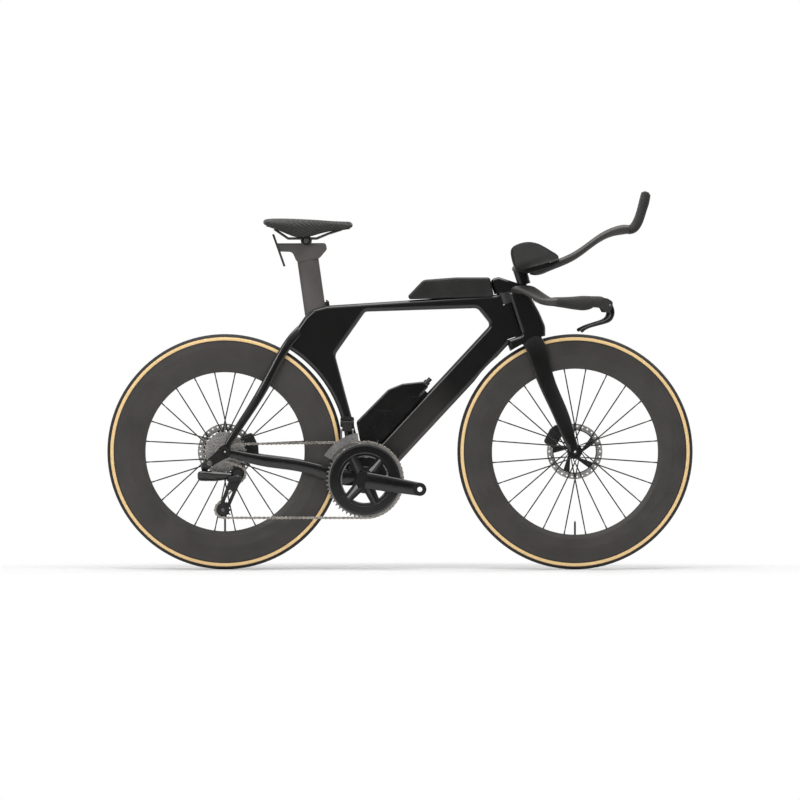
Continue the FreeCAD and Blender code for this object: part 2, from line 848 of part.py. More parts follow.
def make_frame():
    nose = steer_cylinder(half_width, head_low, head_top)
    cheeks = middle_plate(
        outline(
            (steer_point(head_low), 0),
            (steer_point(head_top), 0),
            (steer_point(head_top, -half_width), 0),
            (steer_point(head_low, -half_width), 0),
        ),
        s.tube_width,
    )
    shell = bar_across(bottom_bracket, s.shell_radius, s.shell_width)
    gusset = bar_across(bottom_bracket, s.gusset_radius, s.gusset_width)
    gusset = gusset.makeFillet(8, [edge for edge in gusset.Edges if edge.Closed])
    dropout = bar_across(at_y(rear_axle, rear_dropout_y), s.dropout_radius, s.dropout_thickness)
    stays = [seatstay(), chainstay(), dropout]
    stays += [mirrored(stay) for stay in stays]
    shape = fused([frame_core(), nose, cheeks, shell, gusset] + stays)
    bearing_seat = s.bearing_outer_diameter / 2
    shape = shape.cut(bar_across(bottom_bracket, cup_outer_radius, s.shell_width + 2))
    shape = shape.cut(bar_across(rear_axle, s.axle_diameter / 2, s.shell_width * 3))
    shape = shape.cut(spot_faces(rear_axle, rear_dropout_y, s.dropout_radius + 4))
    shape = shape.cut(steer_cylinder(s.steerer_diameter / 2 + 1, head_low, head_top))
    shape = shape.cut(steer_cylinder(bearing_seat, head_low, head_low + s.bearing_height))
    shape = shape.cut(steer_cylinder(bearing_seat, head_top - s.bearing_height, head_top))
    shape = shape.cut(steer_cylinder(stem_radius + s.steering_gap, head_top, head_top + 90))
    chord, width = s.post_chord + 2 * s.post_fit, s.post_width + 2 * s.post_fit
    shape = shape.cut(post_bar(chord, width, -s.post_insert - s.post_travel - 4, 60))
    shape = shape.cut(wedge_block(80))
    solid_node("frame", max(shape.Solids, key=lambda solid: solid.Volume))
    clamp = wedge_block(wedge.height)
    bolt = cylinder(seat_point(wedge_height + wedge.height, wedge_ahead), seat_up, bolt_radius, 5)
    solid_node("seat_clamp", fused([clamp, bolt]))
    cups = []
    for side in sides:
        inside = at_y(bottom_bracket, side * (s.shell_width / 2 - cup_reach / 2))
        outside = at_y(bottom_bracket, side * (s.shell_width + cup_flange) / 2)
        cup = bar_across(inside, cup_outer_radius, cup_reach)
        cup = cup.fuse(bar_across(outside, cup_outer_radius + 4, cup_flange))
        cups.append(cup.cut(bar_across(bottom_bracket, s.spindle_diameter / 2 + s.bearing_fit, 200)))
    solid_node("bottom_bracket_cups", joined(cups))
    races = []
    for start in (head_low, head_top - s.bearing_height):
        race = steer_cylinder(bearing_seat, start, start + s.bearing_height)
        bore = steer_cylinder(s.steerer_diameter / 2 + s.bearing_fit, start, start + s.bearing_height)
        races.append(race.cut(bore))
    solid_node("headset_bearings", joined(races))


# Fork and cockpit
stem_radius = 22.5
cover_radius = 29.0
fork_tyre_gap = 6.0
bayonet_rear = 10.0
riser_ahead = 62.0
stub_ahead = 58.0
stub_chord, stub_width = 22.0, 17.0
riser_foot = head_top + 37
riser_head = head_top + 89


def fork_leg():
    depth, width = s.fork_leg_depth, s.fork_leg_width
    return tube(
        [
            (at_y(steer_point(head_low - 18, 30), s.tyre_section / 2 + width * 0.6), depth * 1.2, width),
            (at_y(front_axle + Vector(-113, 0, 300), s.tyre_section / 2 + width), depth * 1.25, width),
            (at_y(front_axle + Vector(-92, 0, 231), 31), depth * 1.12, width),
            (at_y(front_axle + Vector(-51, 0, 131), 42), depth * 0.97, width),
            (at_y(front_axle + Vector(-16, 0, 36), front_dropout_y), depth * 0.72, s.dropout_thickness),
            (at_y(front_axle, front_dropout_y), depth * 0.5, s.dropout_thickness),
        ],
        squareness=2.5,
    )


def riser_bar(chord, width, ahead, start, end):
    foot = section(steer_point(start, ahead), steer_up, chord, width, squareness=2.3)
    return loft([foot, section(steer_point(end, ahead), steer_up, chord, width, squareness=2.3)])


def make_fork(bar_shape):
    """Bayonet fork: a nose in front of the head tube, a crown under it and two blades."""
    low = head_low - s.steering_gap
    half = s.bayonet_width / 2
    shape = soft_plate(
        outline(
            (steer_point(low, bayonet_rear), 8),
            (steer_point(head_top + 30, bayonet_rear), 0),
            (steer_point(head_top + 30, 64), 0),
            (steer_point(head_top - 52, 79), 60),
            (steer_point(head_low + 2, 82), 40),
            (steer_point(head_low - 36, 70), 24),
            (steer_point(head_low - 80, 58), 0),
            (steer_point(head_low - 80, -s.crown_radius), 0),
            (steer_point(low, -s.crown_radius), 0),
        ),
        s.bayonet_width,
        s.bayonet_edge_radius,
    )
    shape = shape.cut(side_cylinder(front_axle, s.tyre_radius + fork_tyre_gap))
    shape = shape.cut(steer_cylinder(half_width + s.steering_gap, low, head_top + 90))
    crown_limit = steer_cylinder(s.crown_radius, 0, head_top + 90)
    front_half = cylinder(steer_point(0, 100), steer_up, 96, head_top + 90)
    shape = fused([shape.common(crown_limit), shape.common(front_half)])
    shape = max(shape.Solids, key=lambda solid: solid.Volume)
    dropout = bar_across(at_y(front_axle, front_dropout_y), s.dropout_radius * 0.72, s.dropout_thickness)
    steerer = steer_cylinder(s.steerer_diameter / 2, head_low - 24, head_top + 24)
    leg = fork_leg()
    shape = fused([shape, leg, dropout, mirrored(leg), mirrored(dropout), steerer])
    shape = shape.cut(bar_across(front_axle, s.axle_diameter / 2, s.front_hub_width * 2))
    shape = shape.cut(spot_faces(front_axle, front_dropout_y, s.dropout_radius))
    shape = shape.cut(bar_shape)
    shape = shape.cut(stub_socket())
    solid_node("fork", max(shape.Solids, key=lambda solid: solid.Volume))


def stub_socket():
    chord, width = stub_chord + 2 * s.slide_fit, stub_width + 2 * s.slide_fit
    return riser_bar(chord, width, stub_ahead, riser_foot - s.riser_insert - 2, riser_foot + 60)


grip_start = Vector(front_axle.x - 56, 0, steer_point(head_top).z + 6)


def bar_stations():
    """Wing of the base bar from its centre to the left grip: point, chord and thickness."""
    middle = steer_point(head_top + 24, 55)
    chord, thick = s.bar_centre_chord, s.bar_thickness
    end = at_y(grip_start, s.bar_half_span)
    return [
        (middle, chord, thick),
        (middle + Vector(4, 62, 1), chord * 0.9, thick * 0.95),
        (at_y((middle + end) / 2 + Vector(-8, 0, 0), s.bar_half_span * 0.68), chord * 0.7, thick * 0.86),
        (end + Vector(-20, -9, 0), chord * 0.5, thick * 0.95),
        (end, s.grip_diameter * 0.95, thick),
    ]


def base_bar_shape():
    one = bar_stations()
    stations = [(at_y(point, -point.y), chord, thick) for point, chord, thick in reversed(one)]
    wing = tube(
        stations + one[1:], squareness=2.3, lean=up, first=Vector(-1, 0, 0), last=Vector(1, 0, 0)
    )
    stem = steer_cylinder(stem_radius, head_top + s.steering_gap, head_top + 34)
    bridge = middle_plate(
        outline(
            (steer_point(head_top + s.steering_gap, 0), 0),
            (steer_point(head_top + 34, 0), 0),
            (steer_point(head_top + 30, 60), 10),
            (steer_point(head_top + 8, 60), 10),
            (steer_point(head_top + s.steering_gap, 22), 4),
        ),
        stem_radius * 2,
    )
    return fused([wing, stem, bridge])


def steering_envelope(radius):
    """Space within a radius of the steering axis, and everything ahead of the axis."""
    reach = 96.0
    ahead = cylinder(steer_point(0, reach), steer_up, reach, head_top + 120)
    return fused([steer_cylinder(radius, 0, head_top + 120), ahead])


def make_grips():
    """Rubber grip and lever body at each end of the base bar, with the lever's pin."""
    start = at_y(grip_start, s.bar_half_span)
    thick, size = s.bar_thickness, s.grip_diameter
    length = s.grip_length
    grip = tube(
        [
            (start, size * 0.95, thick),
            (start + Vector(length * 0.14, 0, 0), size, size),
            (start + Vector(length * 0.5, 0, -1), size * 1.04, size * 1.16),
            (start + Vector(length * 0.7, 0, 3), size * 1.06, size * 1.26),
            (start + Vector(length * 0.84, 0, 0), size, size * 1.06),
            (start + Vector(length, 0, -2), size * 0.9, size),
        ],
        lean=up,
        first=Vector(1, 0, 0),
        last=Vector(1, 0, 0),
    )
    solid_node("base_bar_grips", both_sides(grip))
    nose = grip_nose()
    cheek = s.grip_diameter * 0.84
    body = soft_plate(
        outline(
            (nose + Vector(0, 0, 15), 4),
            (nose + Vector(17, 0, 11), 8),
            (nose + Vector(31, 0, 2), 10),
            (nose + Vector(30, 0, -12), 8),
            (nose + Vector(21, 0, -30), 5),
            (nose + Vector(10, 0, -29), 5),
            (nose + Vector(4, 0, -17), 5),
            (nose + Vector(0, 0, -16), 2),
        ),
        cheek,
        1.8,
    )
    slot = middle_plate(
        outline(
            (nose + Vector(5, 0, 2.6), 0),
            (nose + Vector(60, 0, 2.6), 0),
            (nose + Vector(60, 0, -60), 0),
            (nose + Vector(5, 0, -60), 0),
        ),
        s.lever_width + 2 * s.lever_clearance,
    )
    pin = bar_across(lever_pivot(), s.pivot_diameter / 2, cheek)
    body = body.cut(slot).cut(pin)
    body.translate(Vector(0, s.bar_half_span, 0))
    pin.translate(Vector(0, s.bar_half_span, 0))
    solid_node("lever_bodies", joined([body, pin, mirrored(body), mirrored(pin)]))


def grip_nose():
    return grip_start + Vector(s.grip_length, 0, -2)


def lever_pivot():
    return grip_nose() + Vector(23, 0, -8)


def make_levers():
    """Brake lever blades, curved back under the grips."""
    pivot = lever_pivot()
    lever = soft_plate(
        outline(
            (pivot + Vector(-6, 0, 6), 5),
            (pivot + Vector(-8, 0, -13), 10),
            (pivot + Vector(-15, 0, -25), 12),
            (pivot + Vector(-34, 0, -34), 30),
            (pivot + Vector(-70, 0, -46), 60),
            (pivot + Vector(-91, 0, -58), 4),
            (pivot + Vector(-94, 0, -69), 5),
            (pivot + Vector(-67, 0, -60), 60),
            (pivot + Vector(-30, 0, -50), 30),
            (pivot + Vector(-9, 0, -38), 12),
            (pivot + Vector(3, 0, -20), 12),
            (pivot + Vector(7, 0, -2), 6),
            (pivot + Vector(4, 0, 7), 4),
        ),
        s.lever_width,
        2.4,
    )
    lever = lever.cut(bar_across(pivot, s.pivot_diameter / 2 + s.pivot_fit, s.grip_diameter))
    lever.translate(Vector(0, s.bar_half_span, 0))
    solid_node("brake_lever_left", lever)
    solid_node("brake_lever_right", mirrored(lever))


riser_top = steer_point(riser_head, riser_ahead)
cup_tilt = 15.6
cup_run = polar(1, cup_tilt)
cup_up = polar(1, 90 + cup_tilt)
cup_half = s.cup_radius - 5
cup_bottom = riser_top + Vector(40, 0, 2)


def cup_point(along, height):
    """Point along the arm cup's trough and above its floor."""
    return cup_bottom + cup_run * along + cup_up * height


def trough(half, floor, height, margin=0.0):
    """Solid with a round floor and upright sides, as long as the cup, at the left arm's place."""
    start = cup_point(-s.cup_length / 2 - 20 + margin, 0) + Vector(0, s.cup_spacing / 2, 0)
    wall_foot = cup_up * (floor + half)
    wall_top = cup_up * height
    out = across * half
    edges = [
        Part.LineSegment(start + wall_top - out, start + wall_foot - out).toShape(),
        Part.Arc(start + wall_foot - out, start + cup_up * floor, start + wall_foot + out).toShape(),
        Part.LineSegment(start + wall_foot + out, start + wall_top + out).toShape(),
        Part.LineSegment(start + wall_top + out, start + wall_top - out).toShape(),
    ]
    return Part.Face(Part.Wire(edges)).extrude(cup_run * (s.cup_length + 40 - 2 * margin))


def cup_silhouette(inset):
    """Side outline that the cups and pads are trimmed to."""
    half = s.cup_length / 2
    return middle_plate(
        outline(
            (cup_point(inset - half, inset - 1), 10),
            (cup_point(inset - half - 3, 26), 16),
            (cup_point(inset - half + 24, 62 - inset), 30),
            (cup_point(8, 71 - inset), 40),
            (cup_point(half - 12 - inset, 50 - inset), 30),
            (cup_point(half + 6 - inset, 18), 16),
            (cup_point(half - inset, inset - 1), 10),
        ),
        s.cup_spacing * 2,
    )


def make_arm_rests():
    wall = s.cup_wall
    high = 90.0
    shell = trough(cup_half, 0, high).cut(trough(cup_half - wall, wall, high + 1, -1))
    cup = shell.common(cup_silhouette(0))
    solid_node("arm_cups", both_sides(cup))
    gap = s.slide_fit
    inner = cup_half - wall - gap
    pad = trough(inner, wall + gap, high).cut(
        trough(inner - s.pad_thickness, wall + gap + s.pad_thickness, high + 1, -1)
    )
    solid_node("arm_pads", both_sides(pad.common(cup_silhouette(5))))
    beam = soft_plate(
        outline(
            (riser_top + Vector(-20, 0, -9), 5),
            (riser_top + Vector(24, 0, -17), 12),
            (riser_top + Vector(92, 0, 1), 5),
            (riser_top + Vector(86, 0, 22), 5),
            (riser_top + Vector(-18, 0, 4), 5),
        ),
        s.cup_spacing * 0.88,
        3.5,
    )
    seat = trough(cup_half, 0, high)
    beam = beam.cut(seat).cut(mirrored(seat))
    bar = extension_shape()
    beam = beam.cut(bar).cut(mirrored(bar))
    post = riser_bar(s.riser_chord, s.riser_width, riser_ahead, riser_foot + s.slide_fit, riser_head)
    solid_node("armrest_bracket", max(beam.cut(post).Solids, key=lambda solid: solid.Volume))


def extension_point(x, z):
    return riser_top + Vector(x + 7, s.extension_spacing / 2, z - 2)


def extension_shape():
    size = s.extension_diameter
    return tube(
        [
            (extension_point(24, -7), size, size * 0.9),
            (extension_point(74, 1), size, size * 0.9),
            (extension_point(112, 17), size * 1.1, size * 0.95),
            (extension_point(150, 35), size * 1.25, size * 0.9),
            (extension_point(195, 66), size * 1.25, size * 0.8),
            (extension_point(241, 96), size * 1.3, size * 0.92),
            (extension_point(270, 107), size * 1.3, size * 1.08),
            (extension_point(308, 112), size * 1.1, size),
        ],
        lean=up,
        last=Vector(1, 0, 0),
    )


grip_lean = polar(1, 69)
button_length = 14.0
button_proud = 4.0
grip_tip = extension_point(359, 216)


def make_extensions():
    size = s.extension_grip_diameter
    solid_node("extension_bars", both_sides(extension_shape()))
    joint = extension_point(308, 112)
    grip = tube(
        [
            (joint, s.extension_diameter * 1.1, s.extension_diameter),
            (joint + Vector(13, 0, 3), size, size),
            (joint + Vector(25, 0, 18), size, size),
            (joint + Vector(38, 0, 53), size * 0.96, size * 0.96),
            (grip_tip, size * 0.92, size * 0.92),
        ],
        squareness=2.0,
        first=Vector(1, 0, 0),
        last=grip_lean,
    )
    depth = button_length - button_proud + s.button_travel + 1
    pocket = cylinder(
        grip_tip - grip_lean * depth, grip_lean, s.button_diameter / 2 + s.slide_fit, depth + 20
    )
    solid_node("extension_grips", both_sides(grip.cut(pocket)))
    button = cylinder(
        grip_tip - grip_lean * (button_length - button_proud),
        grip_lean,
        s.button_diameter / 2,
        button_length,
    )
    top = [edge for edge in button.Edges if edge.Closed]
    button = button.makeFillet(1.5, top)
    solid_node("shift_button_left", button)
    solid_node("shift_button_right", mirrored(button))


def make_stem_cover(bar):
    """Low fairing behind the riser, round at the back so that it turns with the bars."""
    height = head_top + 30
    cover = soft_plate(
        outline(
            (steer_point(height - 12, -40), 9),
            (steer_point(height + 26, -40), 20),
            (steer_point(height + 53, -22), 14),
            (steer_point(height + 52, -2), 14),
            (steer_point(height + 8, riser_ahead - 4), 9),
            (steer_point(height - 12, riser_ahead - 4), 9),
        ),
        stem_radius * 1.9,
        8.0,
    )
    cover = cover.common(steering_envelope(cover_radius)).cut(bar)
    ledge_top = head_top + 36 + s.steering_gap
    ledge = steer_cylinder(cover_radius * 2, head_top - 20, ledge_top)
    ledge = ledge.cut(steer_cylinder(stem_radius, head_top - 21, ledge_top + 1))
    cover = cover.cut(ledge.cut(cylinder(steer_point(0, 96), steer_up, 96, head_top + 120)))
    clear = s.slide_fit * 2
    post = riser_bar(
        s.riser_chord + clear, s.riser_width + clear, riser_ahead, head_top, riser_head
    )
    solid_node("stem_cover", max(cover.cut(post).Solids, key=lambda solid: solid.Volume))


def make_cockpit():
    bar = base_bar_shape()
    make_fork(bar)
    bored = bar.cut(steer_cylinder(s.steerer_diameter / 2, head_top, head_top + 24))
    solid_node("base_bar", bored.cut(stub_socket()))
    stub = riser_bar(stub_chord, stub_width, stub_ahead, riser_foot - s.riser_insert, riser_foot + 20)
    post = riser_bar(s.riser_chord, s.riser_width, riser_ahead, riser_foot + s.slide_fit, riser_head)
    solid_node("riser_post", fused([stub, post]).cut(bar.common(post)))
    make_stem_cover(bar)
    make_grips()
    make_levers()
    make_arm_rests()
    make_extensions()


# Seat
barrel_centre = from_seat(-22, 177)
rail_height = 6.0
clamp_disc = SimpleNamespace(inner=15.0, outer=28.0, radius=13.0)
rail_rear, rail_front = 52.0, 30.0
rail_level = barrel_centre.z + rail_height
plate_run = polar(1, 109.6)
plate_out = polar(1, 199.6)
plate_centre = from_seat(-101, 149)
backing_depth = 80.0


def saddle_station(x, half, top, low):
    """One cross-section's sizes: place, half width, crown height and skirt height above the rails."""
    return SimpleNamespace(x=barrel_centre.x + x, half=half, top=rail_level + top, low=rail_level + low)


def saddle_stations():
    wide, nose, length = s.saddle_width / 2, s.saddle_nose_width / 2, s.saddle_length
    rear, front = -0.48 * length, 0.52 * length
    return [
        saddle_station(rear, wide * 0.45, 52, 42),
        saddle_station(rear + 8, wide * 0.76, 56, 37),
        saddle_station(rear + 34, wide * 0.97, 58, 28),
        saddle_station(rear + 66, wide, 58, 15),
        saddle_station(rear + 98, wide * 0.86, 57, 5),
        saddle_station(rear + 126, wide * 0.66, 56, 6),
        saddle_station(rear + 156, nose * 1.5, 55, 14),
        saddle_station(rear + 190, nose * 1.2, 53, 22),
        saddle_station(front - 28, nose, 51, 26),
        saddle_station(front - 7, nose * 0.78, 48, 30),
        saddle_station(front, nose * 0.5, 43, 34),
    ]


def pad_section(station, height):
    """Crowned cross-section with drawn-in flanks, hollow below."""
    half, x = station.half, station.x
    brow = 0.62 * half
    rim = min(4.0, 0.25 * half)
    hollow = max(station.top - height, station.low + 0.4)
    waist = (station.top + station.low) / 2

    def spot(y, z):
        return Vector(x, y, z)

    left_low, right_low = spot(half * 0.94, station.low), spot(-half * 0.94, station.low)
    left_brow, right_brow = spot(brow, station.top - 2), spot(-brow, station.top - 2)
    left_rim, right_rim = spot(half * 0.94 - rim, station.low), spot(rim - half * 0.94, station.low)
    return Part.Wire(
        [
            Part.Arc(left_low, spot(half, waist + 2), left_brow).toShape(),
            Part.Arc(left_brow, spot(0, station.top), right_brow).toShape(),
            Part.Arc(right_brow, spot(-half, waist + 2), right_low).toShape(),
            Part.LineSegment(right_low, right_rim).toShape(),
            Part.Arc(right_rim, spot(0, hollow), left_rim).toShape(),
            Part.LineSegment(left_rim, left_low).toShape(),
        ]
    )


shell_gap = 0.5
shell_thickness = 3.0


def shell_section(station, height):
    """Thin arched base that lies under the padding."""
    half, x = station.half, station.x
    rim = min(4.0, 0.25 * half)
    reach = half * 0.94 - rim - 0.6
    hollow = max(station.top - height, station.low + 0.4) - shell_gap

    def spot(y, z):
        return Vector(x, y, z)

    low = station.low - shell_gap
    return Part.Wire(
        [
            Part.Arc(spot(reach, low), spot(0, hollow), spot(-reach, low)).toShape(),
            Part.LineSegment(spot(-reach, low), spot(2 - reach, low - shell_thickness * 0.4)).toShape(),
            Part.Arc(
                spot(2 - reach, low - shell_thickness * 0.4),
                spot(0, hollow - shell_thickness),
                spot(reach - 2, low - shell_thickness * 0.4),
            ).toShape(),
            Part.LineSegment(spot(reach - 2, low - shell_thickness * 0.4), spot(reach, low)).toShape(),
        ]
    )


def bent_rod(points, radius):
    """Round rod through points, with a ball at each bend."""
    pieces = [rod(points[i], points[i + 1], radius) for i in range(len(points) - 1)]
    pieces += [Part.makeSphere(float(radius), point) for point in points[1:-1]]
    return fused(pieces)


def make_saddle():
    stations = saddle_stations()
    height = s.saddle_pad_height
    solid_node("saddle_pad", loft([pad_section(station, height) for station in stations]))
    base = loft([shell_section(station, height) for station in stations[1:-1]])
    y = s.rail_spacing / 2
    length = s.saddle_length
    route = [
        Vector(barrel_centre.x - 0.36 * length, y * 1.2, rail_level + 27),
        Vector(barrel_centre.x - rail_rear, y, rail_level),
        Vector(barrel_centre.x + rail_front, y, rail_level),
        Vector(barrel_centre.x + 0.25 * length, y * 0.7, rail_level + 14),
        Vector(barrel_centre.x + 0.4 * length, y * 0.42, rail_level + 26),
    ]
    rail = bent_rod(route, s.rail_diameter / 2)
    rail = max(rail.cut(base).Solids, key=lambda solid: solid.Volume)
    solid_node("saddle_rails", both_sides(rail))
    solid_node("saddle_shell", base)


def make_seat():
    post = post_bar(s.post_chord, s.post_width, -s.post_insert, 140)
    head_width = s.post_width + 4
    head = soft_plate(
        outline(
            (from_seat(-130, 147), 6),
            (from_seat(-130, 169), 6),
            (from_seat(34, 170), 8),
            (from_seat(38, 152), 10),
            (from_seat(16, 126), 14),
            (from_seat(-48, 112), 14),
            (from_seat(-62, 144), 14),
        ),
        head_width,
        5.0,
    )
    boss = bar_across(barrel_centre, s.clamp_barrel_diameter / 2 + 6, head_width)
    shape = fused([post, head, boss])
    shape = shape.cut(bar_across(barrel_centre, s.clamp_barrel_diameter / 2 + s.pivot_fit, 100))
    thick = s.cage_plate_thickness
    long_half, wide_half = s.cage_plate_length / 2, s.cage_plate_width / 2
    turn = Rotation(across, 90 - 109.6)
    blank = Part.makeBox(thick, 2 * wide_half, 2 * long_half, Vector(-thick / 2, -wide_half, -long_half))
    corners = [edge for edge in blank.Edges if edge.BoundBox.XLength > thick / 2]
    blank = blank.makeFillet(8, corners)
    plate_place = Placement(plate_centre, turn)
    corner = Vector(thick / 2 - backing_depth, -2 * wide_half, -2 * long_half)
    backing = Part.makeBox(backing_depth, 4 * wide_half, 4 * long_half, corner)
    backing.Placement = plate_place
    shape = max(shape.cut(backing).Solids, key=lambda solid: solid.Volume)
    solid_node("seat_post", shape)
    for offset in (-s.cage_hole_spacing / 2, s.cage_hole_spacing / 2):
        blank = blank.cut(
            cylinder(Vector(-thick, 0, offset), Vector(1, 0, 0), s.cage_hole_diameter / 2, thick * 2)
        )
    solid_node("rear_cage_plate", blank, plate_place)
    barrel = bar_across(barrel_centre, s.clamp_barrel_diameter / 2, 2 * clamp_disc.outer)
    discs = []
    for side in sides:
        middle = at_y(barrel_centre, side * (clamp_disc.inner + clamp_disc.outer) / 2)
        discs.append(bar_across(middle, clamp_disc.radius, clamp_disc.outer - clamp_disc.inner))
    clamp = fused([barrel] + discs)
    for side in sides:
        start = Vector(barrel_centre.x - 60, side * s.rail_spacing / 2, rail_level)
        bore = cylinder(start, Vector(1, 0, 0), s.rail_diameter / 2 + s.pivot_fit, 120)
        clamp = clamp.cut(bore)
    solid_node("saddle_clamp", clamp)
    make_saddle()


# Drivetrain
larger_sprockets = (12, 13, 14, 15, 16, 17, 19, 21, 24, 27, 30)
outer_line = at_y(bottom_bracket, -s.outer_ring_line)
inner_line = at_y(bottom_bracket, -s.inner_ring_line)
small_line = at_y(rear_axle, -s.small_sprocket_line)
guide_centre = small_line + Vector(38, 0, -62)
cage_hang = 252.0
crank_run = polar(1, s.crank_angle)
spider_angles = (61.0, -55.0, 129.0, -123.0)
ring_thickness = 2.0
ring_cover = SimpleNamespace(inner=76.0, outer=99.0, thickness=4.0)
ring_bore = 70.0
inner_bore = 66.0
spider_bolt_radius = 58.0


def pitch_radius(teeth):
    return float(s.chain_pitch) / (2 * math.sin(math.pi / teeth))


def strap(start, end, start_radius, end_radius, y, thickness):
    """Flat link with two round ends joined by tangents, from y to y plus its thickness."""
    run = at_y(end - start, 0)
    length = run.Length
    run.normalize()
    heading = math.degrees(math.atan2(run.z, run.x))
    lift = math.degrees(math.acos((start_radius - end_radius) / length))
    near, far = at_y(start, y), at_y(end, y)
    start_left = near + polar(start_radius, heading + lift)
    start_right = near + polar(start_radius, heading - lift)
    end_left = far + polar(end_radius, heading + lift)
    end_right = far + polar(end_radius, heading - lift)
    wire = Part.Wire(
        [
            Part.Arc(start_left, near - run * start_radius, start_right).toShape(),
            Part.LineSegment(start_right, end_right).toShape(),
            Part.Arc(end_right, far + run * end_radius, end_left).toShape(),
            Part.LineSegment(end_left, start_left).toShape(),
        ]
    )
    return Part.Face(wire).extrude(across * thickness)


def sprocket(centre, teeth, thickness, bore, first_angle):
    """Toothed disc whose gaps hold the chain's rollers on the pitch circle."""
    teeth = int(teeth)
    radius = pitch_radius(teeth)
    seat = float(s.roller_diameter) / 2 + float(s.tooth_seat_clearance)
    tip_radius = radius + 0.25 * float(s.chain_pitch)
    tip_half = math.degrees(0.9 / tip_radius)
    step = 360 / teeth
    middle = at_y(centre, centre.y - thickness / 2)
    edges = []
    for i in range(teeth):
        angle = first_angle + i * step
        outward, onward = polar(1, angle), polar(1, angle + 90)
        gap = middle + outward * radius
        entry = gap - outward * (seat / 2) - onward * (seat * math.sqrt(0.75))
        leave = gap - outward * (seat / 2) + onward * (seat * math.sqrt(0.75))
        tip_start = middle + polar(tip_radius, angle + step / 2 - tip_half)
        tip_end = middle + polar(tip_radius, angle + step / 2 + tip_half)
        edges.append(Part.Arc(entry, gap - outward * seat, leave).toShape())
        edges.append(Part.LineSegment(leave, tip_start).toShape())
        edges.append(Part.LineSegment(tip_start, tip_end).toShape())
        after = polar(1, angle + step)
        swing = polar(1, angle + step + 90)
        next_gap = middle + after * radius
        next_entry = next_gap - after * (seat / 2) - swing * (seat * math.sqrt(0.75))
        edges.append(Part.LineSegment(tip_end, next_entry).toShape())
    disc = Part.Face(Part.Wire(edges)).extrude(across * thickness)
    return disc.cut(bar_across(centre, bore, thickness * 2))


def chain_circles(hang):
    """Wheels in the chain's running order; turn is 1 where the centre lies right of the run."""
    tension = guide_centre + polar(s.pulley_distance, hang)
    pulley = s.pulley_teeth
    return [
        SimpleNamespace(name="outer_ring", centre=outer_line, teeth=int(s.outer_ring_teeth), turn=1),
        SimpleNamespace(name="tension", centre=tension, teeth=int(pulley), turn=1),
        SimpleNamespace(name="guide", centre=guide_centre, teeth=int(pulley), turn=-1),
        SimpleNamespace(name="small", centre=small_line, teeth=int(s.small_sprocket_teeth), turn=1),
    ]


def chain_path(hang):
    """Arcs on the wheels and straight runs between them, each with its length."""
    circles = chain_circles(hang)
    headings = []
    for here, there in zip(circles, circles[1:] + circles[:1]):
        gap = at_y(there.centre - here.centre, 0)
        reach = here.turn * pitch_radius(here.teeth) - there.turn * pitch_radius(there.teeth)
        slope = math.degrees(math.atan2(gap.z, gap.x))
        headings.append(slope - math.degrees(math.asin(reach / gap.Length)))
    path = []
    for i, wheel in enumerate(circles):
        radius = pitch_radius(wheel.teeth)
        start = headings[i - 1] + 90 * wheel.turn
        sweep = (wheel.turn * (headings[i - 1] - headings[i])) % 360
        length = sweep / 360 * wheel.teeth * float(s.chain_pitch)
        path.append(
            SimpleNamespace(
                wheel=wheel, radius=radius, start=start, sweep=-wheel.turn * sweep, length=length
            )
        )
        following = circles[(i + 1) % len(circles)]
        side = polar(1, headings[i] + 90)
        begin = wheel.centre + side * (wheel.turn * radius)
        end = following.centre + side * (following.turn * pitch_radius(following.teeth))
        path.append(SimpleNamespace(wheel=None, begin=begin, end=end, length=(end - begin).Length))
    return path


def chain_length(hang):
    return sum(piece.length for piece in chain_path(hang))


def settle_cage():
    """Angle at which the cage takes up the slack of a whole, even number of links."""
    pitch = float(s.chain_pitch)
    links = 2 * round(chain_length(cage_hang) / pitch / 2)
    low, high = cage_hang - 25, cage_hang + 25
    rising = chain_length(high) > chain_length(low)
    for step in range(60):
        middle = (low + high) / 2
        if (chain_length(middle) < links * pitch) == rising:
            low = middle
        else:
            high = middle
    return middle, links


def chain_pins(path, links):
    """Pin centres one pitch apart along the path, and a pin angle for each wheel."""
    pitch = float(s.chain_pitch)
    pins, angles = [], {}
    for i in range(links):
        left_over = i * pitch
        for piece in path:
            if left_over < piece.length:
                break
            left_over -= piece.length
        share = left_over / piece.length
        if piece.wheel:
            angle = piece.start + piece.sweep * share
            pins.append(piece.wheel.centre + polar(piece.radius, angle))
            angles.setdefault(piece.wheel.name, angle)
        else:
            level = 2.2 * pitch / piece.length
            drift = min(max((share - level) / (1 - 2 * level), 0), 1)
            spot = piece.begin + (piece.end - piece.begin) * share
            pins.append(at_y(spot, piece.begin.y + (piece.end.y - piece.begin.y) * drift))
    return pins, angles


link_plate = SimpleNamespace(end=4.1, waist=2.7, thickness=0.7, inner=1.1, outer=1.85)
pin_radius = 1.8


def link_plates(start):
    """Pair of waisted side plates, from a distance off the chain's middle outwards."""
    pitch = float(s.chain_pitch)
    reach = link_plate.end
    rise = reach * math.sin(math.radians(50))
    run = reach * math.cos(math.radians(50))
    plates = []
    for y in (start, -start - link_plate.thickness):
        corners = [Vector(run, y, rise), Vector(run, y, -rise)]
        corners += [Vector(pitch - run, y, -rise), Vector(pitch - run, y, rise)]
        wire = Part.Wire(
            [
                Part.Arc(corners[0], Vector(-reach, y, 0), corners[1]).toShape(),
                Part.Arc(corners[1], Vector(pitch / 2, y, -link_plate.waist), corners[2]).toShape(),
                Part.Arc(corners[2], Vector(pitch + reach, y, 0), corners[3]).toShape(),
                Part.Arc(corners[3], Vector(pitch / 2, y, link_plate.waist), corners[0]).toShape(),
            ]
        )
        plates.append(Part.Face(wire).extrude(across * link_plate.thickness))
    return plates


